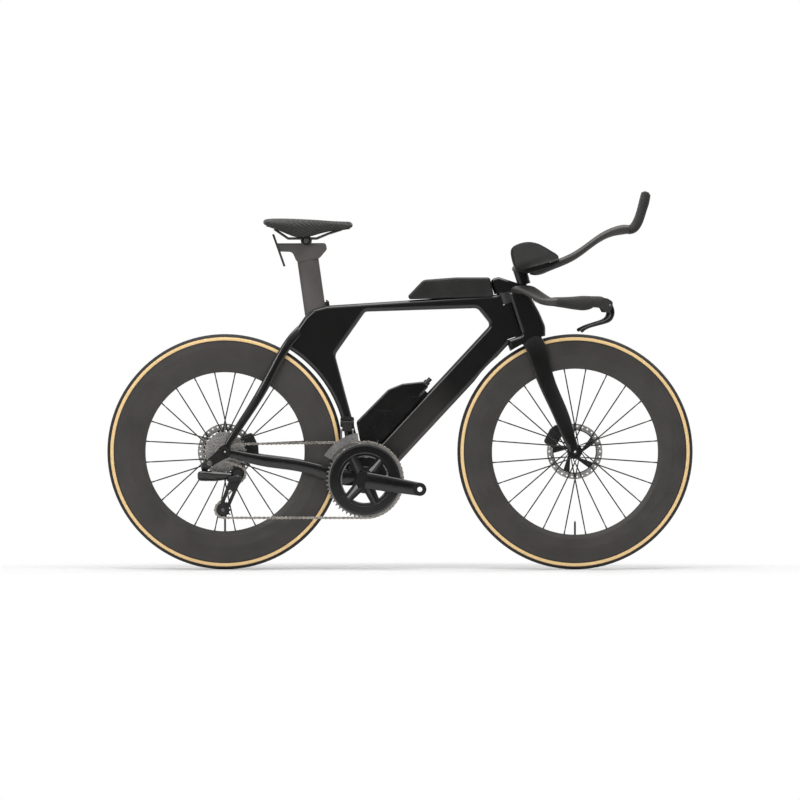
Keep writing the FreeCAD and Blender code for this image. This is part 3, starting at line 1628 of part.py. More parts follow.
def chain_links():
    """A roller link and a pin link, each from its first pin along X."""
    ends = [Vector(), Vector(float(s.chain_pitch), 0, 0)]
    rollers = [bar_across(end, s.roller_diameter / 2, 2 * link_plate.inner) for end in ends]
    roller_link = fused(link_plates(link_plate.inner) + rollers)
    for end in ends:
        roller_link = roller_link.cut(bar_across(end, pin_radius + s.bearing_fit, 10))
    width = 2 * (link_plate.outer + link_plate.thickness)
    pins = [bar_across(end, pin_radius, width) for end in ends]
    return roller_link, fused(link_plates(link_plate.outer) + pins)


def make_chain():
    hang, links = settle_cage()
    path = chain_path(hang)
    pins, angles = chain_pins(path, links)
    kinds = chain_links()
    chain = []
    for i, pin in enumerate(pins):
        run = pins[(i + 1) % links] - pin
        run.normalize()
        axis = across - run * across.dot(run)
        axis.normalize()
        link = kinds[i % 2].copy()
        link.Placement = Placement(pin, Rotation(run, axis, run.cross(axis), "XYZ"))
        chain.append(link)
    solid_node("chain", joined(chain))
    return hang, angles


def make_rings(angles):
    outer = sprocket(outer_line, s.outer_ring_teeth, ring_thickness, ring_bore, angles["outer_ring"])
    cover_line = outer_line - across * (ring_thickness / 2 + ring_cover.thickness / 2)
    cover = ring_across(cover_line, ring_cover.outer, ring_cover.inner, ring_cover.thickness)
    outer = fused([outer, cover])
    solid_node("outer_chainring", outer)
    inner = sprocket(inner_line, s.inner_ring_teeth, ring_thickness, inner_bore, 0)
    tabs = []
    for angle in spider_angles:
        run = polar(1, s.crank_angle + angle)
        tabs.append(
            strap(
                inner_line + run * spider_bolt_radius,
                inner_line + run * (inner_bore + 5),
                9,
                11,
                inner_line.y - ring_thickness / 2,
                ring_thickness,
            )
        )
    solid_node("inner_chainring", fused([inner] + tabs))
    return outer


def crank_arm(run, side):
    """Arm from the spindle to the pedal eye, set outwards on its way."""
    thick = s.crank_arm_thickness
    eye_y = s.crank_stance / 2 - thick / 2
    length = s.crank_length

    def station(share, y, depth, width):
        return at_y(bottom_bracket + run * (length * share), side * y), depth, width

    arm = tube(
        [
            station(0.02, eye_y - 6.5, 48, thick + 4),
            station(0.35, eye_y - 4, 46, thick + 3),
            station(0.68, eye_y - 1.5, 42, thick + 1.5),
            station(1.0, eye_y, 38, thick),
        ],
        squareness=3.0,
        first=run,
        last=run,
    )
    eye = at_y(bottom_bracket + run * length, side * eye_y)
    arm = fused([arm, bar_across(eye, 19, thick)])
    return arm.cut(bar_across(eye, s.pedal_thread_diameter / 2, thick * 2))


hub_gap = 0.6
hub_outer = 66.0
cup_flange = 3.0


def crank_hub(radius, side):
    start = s.shell_width / 2 + cup_flange + hub_gap
    return bar_across(at_y(bottom_bracket, side * (start + hub_outer) / 2), radius, hub_outer - start)


def make_cranks(outer_ring):
    plane = outer_line.y + ring_thickness / 2
    face = outer_line.y - ring_thickness / 2 - ring_cover.thickness
    pieces = [crank_arm(crank_run, right), crank_hub(25, right)]
    for angle in spider_angles:
        run = polar(1, s.crank_angle + angle)
        tip = bottom_bracket + run * (ring_cover.inner - 2)
        pieces.append(strap(bottom_bracket, tip, 18, 13, face, plane - face))
        bolt = bottom_bracket + run * spider_bolt_radius
        start = inner_line.y - ring_thickness / 2
        pieces.append(bar_across(at_y(bolt, (start + plane) / 2), 7, start - plane))
    spindle_end = hub_outer - 4
    spindle_start = -outer_line.y
    pieces.append(
        bar_across(
            at_y(bottom_bracket, (spindle_end - spindle_start) / 2),
            s.spindle_diameter / 2,
            spindle_end + spindle_start,
        )
    )
    solid_node("crank_arm_right", fused(pieces).cut(outer_ring))
    left_arm = fused([crank_arm(-crank_run, left), crank_hub(21, left)])
    bore = bar_across(bottom_bracket, s.spindle_diameter / 2, 2 * spindle_end)
    solid_node("crank_arm_left", left_arm.cut(bore))


def make_cassette(angles):
    bore = s.freehub_radius
    start = freehub_start - s.hub_end_clearance
    end = -s.rear_hub_width / 2 + s.hub_end_clearance
    body = ring_across(
        at_y(rear_axle, (start + end) / 2),
        bore,
        s.axle_diameter / 2 + s.bearing_fit,
        abs(end - start),
    )
    pieces = [body]
    for i, teeth in enumerate((int(s.small_sprocket_teeth),) + larger_sprockets):
        line = small_line + across * (i * s.sprocket_spacing)
        angle = angles["small"] if i == 0 else 0
        pieces.append(sprocket(line, teeth, s.sprocket_thickness, bore, angle))
    spacer = ring_across(
        at_y(rear_axle, small_line.y + len(larger_sprockets) * s.sprocket_spacing / 2),
        bore + 0.7,
        bore,
        len(larger_sprockets) * s.sprocket_spacing,
    )
    for piece in pieces[1:]:
        spacer = spacer.cut(piece)
    lockring = ring_across(
        small_line - across * (s.sprocket_thickness / 2 + 1.2), bore + 0.6, bore, 2.4
    )
    solid_node("cassette", joined(pieces + spacer.Solids + [lockring]))


# Derailleurs
swing_axis = unit(Vector(0, 0.61, 0.793))
link_half = 8.0
lug_gap = 0.3
lug_thickness = 6.0
link_radius = 8.0
knuckle_pivot = at_y(guide_centre, -82) + Vector(-22, 0, -6)
link_pivot = knuckle_pivot + Vector(-s.derailleur_link_length, 0, 0)
hanger_start = rear_dropout_y + s.dropout_thickness / 2
hanger_thickness = 6.0
hanger_bolt = rear_axle + Vector(-43, 0, -31)
cage_gap = 4.2
cage_sheet = 2.0
swing_pin_radius = 3.0


def swing_strap(start, end, start_radius, end_radius, low, high):
    """Strap that lies square to the parallelogram's pins, between two heights along them."""
    flat = strap(start - start, end - start, start_radius, end_radius, low, high - low)
    flat.Placement = Placement(start, Rotation(across, swing_axis))
    return flat


def swing_pin(pivot, radius, low, high):
    return cylinder(pivot + swing_axis * low, swing_axis, radius, high - low)


def make_rear_mech(hang, angles):
    y = -hanger_start - hanger_thickness
    hanger = strap(rear_axle, hanger_bolt, 17, 11, y, hanger_thickness)
    hanger = hanger.cut(bar_across(rear_axle, s.axle_diameter / 2 + 2.8, 400))
    hanger = max(hanger.cut(shape_of("frame")).Solids, key=lambda solid: solid.Volume)
    solid_node("derailleur_hanger", hanger)
    lug_low = link_half + lug_gap
    lug_high = lug_low + lug_thickness
    boss = bar_across(at_y(hanger_bolt, y - 6), 11, 12)
    lug = swing_pin(link_pivot, link_radius + 0.5, lug_low, lug_high)
    neck = tube(
        [
            (at_y(hanger_bolt, y - 6), 20, 11),
            (link_pivot + swing_axis * (lug_low + 5) + Vector(0, -4, 6), 16, 11),
            (link_pivot + swing_axis * (lug_low + 3), 12, 6),
        ],
        lean=across,
    )
    below = swing_pin(link_pivot, 40, -60, lug_low)
    pin = swing_pin(link_pivot, swing_pin_radius, -link_half, lug_high)
    bracket = fused([fused([boss, lug, neck]).cut(below), pin])
    solid_node("rear_mech_bracket", bracket.cut(hanger))
    link = swing_strap(link_pivot, knuckle_pivot, link_radius, link_radius, -link_half, link_half)
    for pivot in (link_pivot, knuckle_pivot):
        link = link.cut(swing_pin(pivot, swing_pin_radius + s.pivot_fit, -30, 30))
    solid_node("rear_mech_link", link)
    cage_face = guide_centre.y - cage_gap - cage_sheet
    knuckle_end = -96.0
    barrel = bar_across(
        at_y(guide_centre, (cage_face - lug_gap + knuckle_end) / 2), 12, cage_face - lug_gap - knuckle_end
    )
    foot = swing_strap(
        knuckle_pivot,
        at_y(guide_centre, knuckle_pivot.y),
        link_radius + 0.5,
        11,
        -lug_high,
        -lug_low,
    )
    stub = swing_pin(knuckle_pivot, swing_pin_radius, -lug_high, link_half)
    knuckle = fused([barrel, foot, stub])
    pivot_bolt = bar_across(at_y(guide_centre, cage_face - 5.5), 4, 13)
    knuckle = knuckle.cut(bar_across(guide_centre, 4 + s.pivot_fit, 60))
    solid_node("rear_mech_knuckle", knuckle)
    tension_centre = guide_centre + polar(s.pulley_distance, hang)
    sheets = [
        strap(guide_centre, tension_centre, 17, 14, cage_face, cage_sheet),
        strap(guide_centre, tension_centre, 11, 10, guide_centre.y + cage_gap, cage_sheet),
    ]
    window_start = guide_centre + (tension_centre - guide_centre) * 0.5
    window_end = guide_centre + (tension_centre - guide_centre) * 0.76
    window = strap(window_start, window_end, 5.5, 4.5, cage_face - 1, 2 * cage_gap + 3 * cage_sheet)
    width = 2 * cage_gap + cage_sheet
    pins = [bar_across(centre, swing_pin_radius, width) for centre in (guide_centre, tension_centre)]
    solid_node("rear_mech_cage", fused([sheet.cut(window) for sheet in sheets] + pins + [pivot_bolt]))
    bore = swing_pin_radius + s.bearing_fit
    for name, centre in (("guide", guide_centre), ("tension", tension_centre)):
        wheel = sprocket(centre, s.pulley_teeth, s.pulley_thickness, bore, angles[name])
        boss = ring_across(centre, 7, bore, 2 * cage_gap - 0.6)
        solid_node(name + "_pulley", fused([wheel, boss]))


front_mech_pivot = bottom_bracket + Vector(-51, -37.5, 165)
front_mech_drop = 22.0
front_link_half = 14.0
front_lug = 5.5
front_pin_radius = 2.5


def pin_along(pivot, radius, half):
    return cylinder(pivot - Vector(half, 0, 0), Vector(1, 0, 0), radius, 2 * half)


def end_lugs(pivot, radius):
    """Pair of ears just outside the ends of the link."""
    lugs = []
    for start in (front_link_half + lug_gap, -front_link_half - lug_gap - front_lug):
        lugs.append(cylinder(pivot + Vector(start, 0, 0), Vector(1, 0, 0), radius, front_lug))
    return lugs


def arc_plate(low, high, first, last, y, thickness):
    """Plate between two circles about the bottom bracket, over a span of angles."""
    centre = at_y(bottom_bracket, y)
    middle = (first + last) / 2
    wire = Part.Wire(
        [
            Part.Arc(*(centre + polar(high, angle) for angle in (first, middle, last))).toShape(),
            Part.LineSegment(centre + polar(high, last), centre + polar(low, last)).toShape(),
            Part.Arc(*(centre + polar(low, angle) for angle in (last, middle, first))).toShape(),
            Part.LineSegment(centre + polar(low, first), centre + polar(high, first)).toShape(),
        ]
    )
    return Part.Face(wire).extrude(across * thickness)


def make_front_mech():
    pivot, radius = front_mech_pivot, 5.0
    wall = half_width
    half = front_link_half + lug_gap + front_lug
    block = plate(
        outline(
            (pivot + Vector(-half, 0, -14), 4),
            (pivot + Vector(half, 0, -14), 4),
            (pivot + Vector(half, 0, 16), 6),
            (pivot + Vector(-half, 0, 16), 6),
        ),
        -wall - 7,
        7,
    )
    ears = []
    for ear in end_lugs(pivot, radius):
        start = ear.BoundBox.XMin
        ears.append(ear)
        ears.append(
            Part.makeBox(
                front_lug, -wall - 6 - pivot.y, 2 * radius, Vector(start, pivot.y, pivot.z - radius)
            )
        )
    base = fused([block] + ears)
    base = fused([base, pin_along(pivot, front_pin_radius, half)])
    solid_node("front_mech_base", base)
    lower = pivot - up * front_mech_drop
    link = Part.makeBox(
        2 * front_link_half, 7, front_mech_drop, Vector(pivot.x - front_link_half, pivot.y - 3.5, lower.z)
    )
    rounds = [pin_along(spot, 3.5, front_link_half) for spot in (pivot, lower)]
    link = fused([link] + rounds)
    for spot in (pivot, lower):
        link = link.cut(pin_along(spot, front_pin_radius + s.pivot_fit, half))
    solid_node("front_mech_link", link)
    ring_tip = pitch_radius(s.outer_ring_teeth) + 0.25 * s.chain_pitch
    low, high = ring_tip + 2.2, ring_tip + 24
    first, last = 99.0, 149.0
    sheet = 1.2
    outer_y, inner_y = outer_line.y - 7, outer_line.y + 5.8
    outer_sheet = arc_plate(low, high, first, last, outer_y, sheet)
    inner_sheet = arc_plate(low - 8, high, first, last, inner_y, sheet)
    bridge = arc_plate(high - 3, high, first, first + 12, outer_y, inner_y + sheet - outer_y)
    ears = []
    for ear in end_lugs(lower, 4.5):
        start = ear.BoundBox.XMin
        ears.append(ear)
        ears.append(
            tube(
                [
                    (Vector(start + front_lug / 2, lower.y, lower.z), front_lug - 0.1, 8),
                    (Vector(start + front_lug / 2, inner_y + 1, lower.z - 28), front_lug - 0.1, 2.4),
                ],
                squareness=6.0,
            )
        )
    pin = pin_along(lower, front_pin_radius, half)
    cage = fused([outer_sheet, inner_sheet, bridge] + ears)
    solid_node("front_mech_cage", fused([cage, pin]))


# Brakes
pad_gap = 0.4
brake_pad = SimpleNamespace(thickness=2.5, length=28.0, depth=16.0)


def make_caliper(label, axle, rotor_y, angle, carrier, reach):
    """Two-piston caliper over the rotor's edge, seated on the leg or stay that carries it."""
    out, toward = polar(1, angle), polar(1, angle - 90)
    place = at_y(axle, rotor_y)
    body = soft_plate(
        outline(
            (axle + out * 54 - toward * 24, 7),
            (axle + out * 92 - toward * 22, 9),
            (axle + out * 94 + toward * 20, 9),
            (axle + out * 86 + toward * reach, 6),
            (axle + out * 54 + toward * reach, 6),
        ),
        27.0,
        4.0,
    )
    body.translate(across * rotor_y)
    slot = s.rotor_thickness + 2 * (pad_gap + brake_pad.thickness + 0.1)
    body = body.cut(bar_across(place, s.rotor_radius + 2.5, slot))
    body = max(body.cut(carrier).Solids, key=lambda solid: solid.Volume)
    pads = []
    for side in sides:
        start = s.rotor_thickness / 2 + pad_gap
        y = rotor_y + (start if side > 0 else -start - brake_pad.thickness)
        middle = axle + out * (s.rotor_radius - brake_pad.depth / 2 - 1)
        pads.append(
            strap(
                middle - toward * (brake_pad.length / 2 - brake_pad.depth / 2),
                middle + toward * (brake_pad.length / 2 - brake_pad.depth / 2),
                brake_pad.depth / 2,
                brake_pad.depth / 2,
                y,
                brake_pad.thickness,
            )
        )
    solid_node(label, joined([body] + pads))


def make_brakes():
    middle = s.rotor_thickness / 2
    make_caliper("front_caliper", front_axle, front_rotor_y + middle, 150, shape_of("fork"), 40)
    make_caliper("rear_caliper", rear_axle, rear_rotor_y + middle, 22, shape_of("frame"), 44)


# Bottle and storage box
bottle_floor = s.down_tube_depth / 2 + 9


def bottle_outline(margin):
    height = s.bottle_height
    return outline(
        (from_down_tube(86 - margin, bottle_floor), 6),
        (from_down_tube(70 - margin, bottle_floor + 0.42 * height), 10),
        (from_down_tube(105, bottle_floor + 0.98 * height + margin), 14),
        (from_down_tube(236, bottle_floor + 0.93 * height + margin), 30),
        (from_down_tube(276, bottle_floor + 0.71 * height + margin), 20),
        (from_down_tube(322 + margin, bottle_floor + 0.24 * height), 8),
        (from_down_tube(322 + margin, bottle_floor), 6),
    )


def make_bottle():
    bottle = soft_plate(bottle_outline(0), s.bottle_width, 5.0)
    neck = cylinder(from_down_tube(316, bottle_floor + 12), down_run, 9.5, 14)
    nozzle = cylinder(from_down_tube(330, bottle_floor + 12), down_run, 6.5, 12)
    solid_node("bottle", fused([bottle, neck, nozzle]))
    inner = s.bottle_width / 2 + s.bottle_fit
    floor = s.down_tube_depth / 2
    base = middle_plate(
        outline(
            (from_down_tube(92, floor), 2),
            (from_down_tube(92, bottle_floor - s.bottle_fit), 2),
            (from_down_tube(306, bottle_floor - s.bottle_fit), 2),
            (from_down_tube(306, floor), 2),
        ),
        s.tube_width * 0.8,
    )
    pieces = [base]
    tray = middle_plate(
        outline(
            (from_down_tube(110, bottle_floor - s.bottle_fit - s.cage_wall), 0.5),
            (from_down_tube(110, bottle_floor - s.bottle_fit), 0.5),
            (from_down_tube(286, bottle_floor - s.bottle_fit), 0.5),
            (from_down_tube(286, bottle_floor - s.bottle_fit - s.cage_wall), 0.5),
        ),
        2 * (inner + s.cage_wall),
    )
    pieces.append(tray)
    cheek = outline(
        (from_down_tube(110, bottle_floor - s.bottle_fit - s.cage_wall), 1),
        (from_down_tube(122, bottle_floor + 0.62 * s.bottle_height), 12),
        (from_down_tube(168, bottle_floor + 0.8 * s.bottle_height), 12),
        (from_down_tube(200, bottle_floor + 0.34 * s.bottle_height), 20),
        (from_down_tube(262, bottle_floor + 0.26 * s.bottle_height), 16),
        (from_down_tube(286, bottle_floor - s.bottle_fit - s.cage_wall), 1),
    )
    for start in (inner, -inner - s.cage_wall):
        pieces.append(plate(cheek, start, s.cage_wall))
    solid_node("bottle_cage", fused(pieces))


def make_box(frame):
    """Hollow storage box behind the stem, seated on the top tube, with a lid strip along its top."""
    front = steer_point(head_top) + Vector(-52, 0, 76)
    long, wall = s.box_length, s.box_wall
    rise = s.box_height
    rear_slope = rise * 1.08
    rear_top = front + Vector(rear_slope - long, 0, -7)
    foot_rise = Vector(0, 0, -rise - 6)
    lid_drop = Vector(0, 0, -s.box_lid_thickness)
    whole = soft_plate(
        outline(
            (front - Vector(long, 0, rise + 14), 8),
            (rear_top, 24),
            (front + Vector(-long * 0.4, 0, 0), 80),
            (front, 9),
            (front + Vector(12, 0, 0) + foot_rise, 8),
        ),
        s.box_width,
        7.0,
    )
    whole = whole.cut(frame).cut(steer_cylinder(cover_radius + s.steering_gap, 0, head_top + 120))
    whole = max(whole.Solids, key=lambda solid: solid.Volume)
    above_lid = middle_plate(
        outline(
            (rear_top + lid_drop - Vector(4, 0, 0), 0),
            (front + lid_drop + Vector(20, 0, 0), 0),
            (front + Vector(20, 0, 20), 0),
            (rear_top + Vector(-4, 0, 20), 0),
        ),
        s.box_width * 2,
    )
    hollow = middle_plate(
        outline(
            (front - Vector(long - wall - 34, 0, rise + 5), 6),
            (rear_top + lid_drop + Vector(8 + wall, 0, 0), 0),
            (front + lid_drop - Vector(wall + 2, 0, 0), 0),
            (front + Vector(-wall - 2, 0, wall) + foot_rise, 6),
        ),
        s.box_width - 2 * wall,
    )
    solid_node("top_tube_box", whole.cut(above_lid).cut(hollow.cut(above_lid)))
    solid_node("box_lid", whole.common(above_lid))


make_frame()
make_cockpit()
make_seat()
hang, wheel_angles = make_chain()
make_cranks(make_rings(wheel_angles))
make_cassette(wheel_angles)
make_rear_mech(hang, wheel_angles)
make_front_mech()
make_brakes()
make_bottle()
make_box(shape_of("frame"))

doc.recompute()
failed = [item.Name for item in doc.Objects if {"Invalid", "Error"} & set(item.State)]
failed += [item.Label for item in nodes if item.Shape.isNull() or not item.Shape.isValid()]
if failed:
    raise RuntimeError("could not build " + ", ".join(failed))
os.makedirs("parts", exist_ok=True)
for item in nodes:
    item.Shape.exportStep(f"parts/{item.Label}.step")
    print(f"{item.Label}: {len(item.Shape.Solids)} solids, {item.Shape.Volume / 1000:.1f} cm3")
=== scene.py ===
import json
import math

import bmesh
import bpy
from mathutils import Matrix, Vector


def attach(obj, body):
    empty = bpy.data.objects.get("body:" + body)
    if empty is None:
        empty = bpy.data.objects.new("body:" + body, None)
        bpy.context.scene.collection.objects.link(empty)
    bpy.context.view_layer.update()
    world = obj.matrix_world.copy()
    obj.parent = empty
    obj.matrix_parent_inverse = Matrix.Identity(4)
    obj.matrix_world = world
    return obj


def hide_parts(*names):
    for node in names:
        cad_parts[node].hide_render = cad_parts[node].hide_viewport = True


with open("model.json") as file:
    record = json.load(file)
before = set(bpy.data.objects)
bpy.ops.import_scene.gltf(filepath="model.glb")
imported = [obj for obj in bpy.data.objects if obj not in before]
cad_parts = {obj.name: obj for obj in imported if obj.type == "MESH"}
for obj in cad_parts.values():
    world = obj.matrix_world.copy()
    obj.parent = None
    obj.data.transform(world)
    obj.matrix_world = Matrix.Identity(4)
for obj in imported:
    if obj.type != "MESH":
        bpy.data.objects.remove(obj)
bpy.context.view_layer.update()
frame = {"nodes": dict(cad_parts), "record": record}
nodes = frame["nodes"]
bodyOf = {
    name: body
    for body, members in frame["record"]["behaviour"]["bodies"].items()
    for name in members
}
print("frame loaded:", len(nodes), "nodes")

mm = 0.001


# camera at the photograph's viewing angle

cameraSetup = {
    "place": (0.0, -20.0, 0.80), "target": (0.0, 0.0, 0.488), "lens": 312.5, "sensor": 36.0, "reach": 60,
}


def makeCamera(setup):
    data = bpy.data.cameras.new("camera")
    data.lens, data.sensor_width = setup["lens"], setup["sensor"]
    data.clip_end = setup["reach"]
    camera = bpy.data.objects.new("camera", data)
    bpy.context.scene.collection.objects.link(camera)
    camera.location = setup["place"]
    aim = Vector(setup["target"]) - camera.location
    camera.rotation_euler = aim.to_track_quat("-Z", "Y").to_euler()
    bpy.context.scene.camera = camera


makeCamera(cameraSetup)


# shader maths


class Wire:  # a node socket that can be calculated with
    def __init__(self, graph, socket):
        self.graph = graph
        self.socket = socket

    def maths(self, operation, first, second=0.0):
        return self.graph.node("ShaderNodeMath", {"operation": operation}, {0: first, 1: second})

    def __add__(self, other):
        return self.maths("ADD", self, other)

    def __sub__(self, other):
        return self.maths("SUBTRACT", self, other)

    def __rsub__(self, other):
        return self.maths("SUBTRACT", other, self)

    def __mul__(self, other):
        return self.maths("MULTIPLY", self, other)

    def __pow__(self, other):
        return self.maths("POWER", self, other)

    def __abs__(self):
        return self.maths("ABSOLUTE", self)

    def sine(self):
        return self.maths("SINE", self)

    def atan2(self, other):
        return self.maths("ARCTAN2", self, other)

    def root(self):
        return self.maths("SQRT", self)

    def most(self, other):
        return self.maths("MAXIMUM", self, other)

    def spread(self, low, high, toLow=0.0, toHigh=1.0):  # smooth step between two values
        return self.graph.node(
            "ShaderNodeMapRange",
            {"interpolation_type": "SMOOTHSTEP"},
            {"Value": self, "From Min": low, "From Max": high, "To Min": toLow, "To Max": toHigh},
        )

    __radd__ = __add__
    __rmul__ = __mul__


class Graph:  # a node tree under construction
    def __init__(self, tree):
        self.tree = tree

    def node(self, kind, settings=None, inputs=None, out=0):
        made = self.tree.nodes.new(kind)
        for name, value in (settings or {}).items():
            setattr(made, name, value)
        for name, value in (inputs or {}).items():
            self.feed(made.inputs[name], value)
        return made if out is None else Wire(self, made.outputs[out])

    def feed(self, socket, value):
        if isinstance(value, Wire):
            self.tree.links.new(value.socket, socket)
        elif isinstance(value, (tuple, list)) and len(value) == 3 and socket.type == "RGBA":
            socket.default_value = (*value, 1)
        else:
            socket.default_value = value


class Finish(Graph):  # a material; edge is the radius that its sharp edges are shaded with
    def __init__(self, name, edge=0.0, **fixed):
        self.material = bpy.data.materials.new(name)
        self.material.use_nodes = True
        super().__init__(self.material.node_tree)
        self.surface = next(item for item in self.tree.nodes if item.type == "BSDF_PRINCIPLED")
        for socket, value in fixed.items():
            self.surface.inputs[socket.replace("_", " ")].default_value = value
        self.place = self.node("ShaderNodeTexCoord", out="Object")
        apart = self.node("ShaderNodeSeparateXYZ", inputs={0: self.place}, out=None)
        self.x, self.y, self.z = (Wire(self, apart.outputs[axis]) for axis in "XYZ")
        self.edge = self.node("ShaderNodeBevel", {"samples": 4}, {"Radius": edge}) if edge else None

    def set(self, **values):
        for name, value in values.items():
            self.feed(self.surface.inputs[name.replace("_", " ")], value)

    def blend(self, factor, first, second):  # mixes two colours
        return self.node("ShaderNodeMix", {"data_type": "RGBA"}, {0: factor, 6: first, 7: second}, out=2)

    def stretched(self, stretch):
        if not stretch:
            return self.place
        return self.node("ShaderNodeMapping", inputs={"Vector": self.place, "Scale": stretch})

    def noise(self, scale, detail=2.0, roughness=0.5, stretch=None):
        return self.node(
            "ShaderNodeTexNoise",
            inputs={"Vector": self.stretched(stretch), "Scale": scale, "Detail": detail, "Roughness": roughness},
        )

    def cells(self, scale):
        return self.node("ShaderNodeTexVoronoi", inputs={"Vector": self.place, "Scale": scale})

    def bump(self, height, distance, strength=1.0):
        inputs = {"Height": height, "Distance": distance, "Strength": strength}
        if self.edge:
            inputs["Normal"] = self.edge
        return self.node("ShaderNodeBump", inputs=inputs, out="Normal")

    def radius(self, x, z):  # distance from an axle that runs across the bike
        along = self.x - x
        rise = self.z - z
        return (along * along + rise * rise).root()


# sizes that several finishes share

bike = {
    "axleX": 0.504,
    "axleZ": 0.339,
    "crank": (-0.10086, 0.259),
}


def wheelRadius(finish):  # the two wheels mirror each other, so |x| serves both
    along = abs(finish.x) - bike["axleX"]
    rise = finish.z - bike["axleZ"]
    return (along * along + rise * rise).root()


def wheelAngle(finish):
    return (finish.z - bike["axleZ"]).atan2(abs(finish.x) - bike["axleX"])


# finishes


# painted reflection: centre, fade and colour of a lighter patch painted low on the frame as soft grey reflection
reflectionPatch = {"reflectionCentre": (0.06, 0.39), "reflectionFade": (0.10, 0.26), "reflection": (0.034, 0.031, 0.029)}


def glossPaint():
    finish = Finish("frameGloss", Coat_Roughness=0.06, Coat_IOR=1.5, Specular_IOR_Level=0.2)
    flake = finish.cells(2600.0)
    drift = finish.noise(7.0, 3.0)
    colour = finish.blend(drift, (0.0030, 0.0028, 0.0027), (0.0052, 0.0048, 0.0046))
    colour = finish.blend(flake.spread(0.0, 0.5, 0.25, 0.0), colour, (0.016, 0.015, 0.014))
    reflection = finish.radius(*reflectionPatch["reflectionCentre"]) + drift * 0.12  # painted reflection: a lighter patch low on the frame round the bottom bracket stands in for soft grey reflection there
    colour = finish.blend(reflection.spread(*reflectionPatch["reflectionFade"], 0.8, 0.0), colour, reflectionPatch["reflection"])
    finish.set(Base_Color=colour, Roughness=finish.noise(24.0, 3.0).spread(0.3, 0.7, 0.30, 0.36), Coat_Weight=0.9)
    finish.set(Normal=finish.bump(flake, 0.00001, 0.15))
    return finish.material


def satinCarbon(name, dark, light, rough, clamp=0.0):
    finish = Finish(name, Specular_IOR_Level=0.5, Coat_Roughness=0.3)
    tow = finish.noise(420.0, 2.0, 0.55, stretch=(1.0, 1.0, 0.3))
    patch = finish.noise(9.0, 2.0)
    tone = tow * 0.2 + patch * 0.8
    colour = finish.blend(tone.spread(0.3, 0.7), dark, light)
    coat = 0.12
    if clamp:  # the clamp in the middle is painted as the frame is
        painted = abs(finish.y).spread(clamp, clamp + 0.012, 1.0, 0.0)
        colour = finish.blend(painted, colour, (0.004, 0.0038, 0.0036))
        coat = painted * 0.7 + 0.12
    finish.set(
        Base_Color=colour,
        Roughness=finish.noise(45.0, 3.0).spread(0.3, 0.7, rough - 0.05, rough + 0.06),
        Normal=finish.bump(finish.noise(900.0, 2.0), 0.00003, 0.12),
        Coat_Weight=coat,
    )
    return finish.material


def rimCarbon():
    finish = Finish("rimCarbon", Specular_IOR_Level=0.45)
    around = wheelAngle(finish)
    reach = wheelRadius(finish)
    weaveA = (around * 620.0 + reach * 2300.0).sine()
    weaveB = (around * 620.0 - reach * 2300.0).sine()
    weave = weaveA * weaveB * 0.5 + 0.5
    patch = finish.noise(11.0, 3.0)
    tone = patch * 0.8 + weave * 0.2
    colour = finish.blend(tone.spread(0.25, 0.75), (0.034, 0.0305, 0.028), (0.046, 0.0415, 0.038))
    bed = reach.spread(0.316, 0.3185)
    finish.set(
        Base_Color=finish.blend(bed, colour, (0.018, 0.017, 0.016)),
        Roughness=patch.spread(0.3, 0.7, 0.42, 0.52),
        Normal=finish.bump(weave, 0.00005, 0.3),
    )
    return finish.material


def tyreRubber():
    finish = Finish("tyreRubber", Specular_IOR_Level=0.35)
    reach = wheelRadius(finish)
    around = wheelAngle(finish)
    wobble = finish.noise(140.0, 2.0) * 0.0012
    tread = (reach + wobble).spread(0.3298, 0.3310)
    casing = finish.noise(420.0, 3.0)
    threads = ((around * 900.0 + reach * 2600.0).sine() + (around * 900.0 - reach * 2600.0).sine()) * 0.25 + 0.5
    tan = finish.blend(casing.spread(0.3, 0.7), (0.80, 0.54, 0.25), (0.90, 0.66, 0.35))
    tan = finish.blend(threads * 0.22, tan, (0.62, 0.38, 0.15))
    grime = finish.noise(16.0, 4.0).spread(0.55, 0.8, 0.0, 0.25)
    tan = finish.blend(grime, tan, (0.50, 0.33, 0.16))
    black = finish.blend(finish.noise(60.0, 3.0), (0.014, 0.0135, 0.013), (0.026, 0.025, 0.024))
    bead = (reach - 0.3212).spread(-0.0012, 0.0002)
    colour = finish.blend(tread, tan, black)
    colour = finish.blend(1.0 - bead, colour, (0.05, 0.042, 0.034))
    file = ((around * 700.0 + abs(finish.y) * 1500.0).sine()).spread(-0.4, 0.4)
    shoulder = abs(finish.y).spread(0.0035, 0.0050)
    height = file * shoulder * tread + threads * (1.0 - tread) * 0.25
    finish.set(
        Base_Color=colour,
        Roughness=casing.spread(0.3, 0.7, 0.62, 0.74),
        Normal=finish.bump(height, 0.0003, 0.8),
    )
    return finish.material


def steel(name, dark, light, rough, metal=1.0):
    finish = Finish(name, edge=0.0006, Metallic=metal)
    lines = finish.noise(300.0, 3.0, 0.6)
    patch = finish.noise(30.0, 2.0)
    finish.set(
        Base_Color=finish.blend((lines * 0.6 + patch * 0.4).spread(0.3, 0.7), dark, light),
        Roughness=lines.spread(0.3, 0.7, rough - 0.07, rough + 0.08),
        Normal=finish.bump(lines, 0.00003, 0.4),
    )
    return finish.material


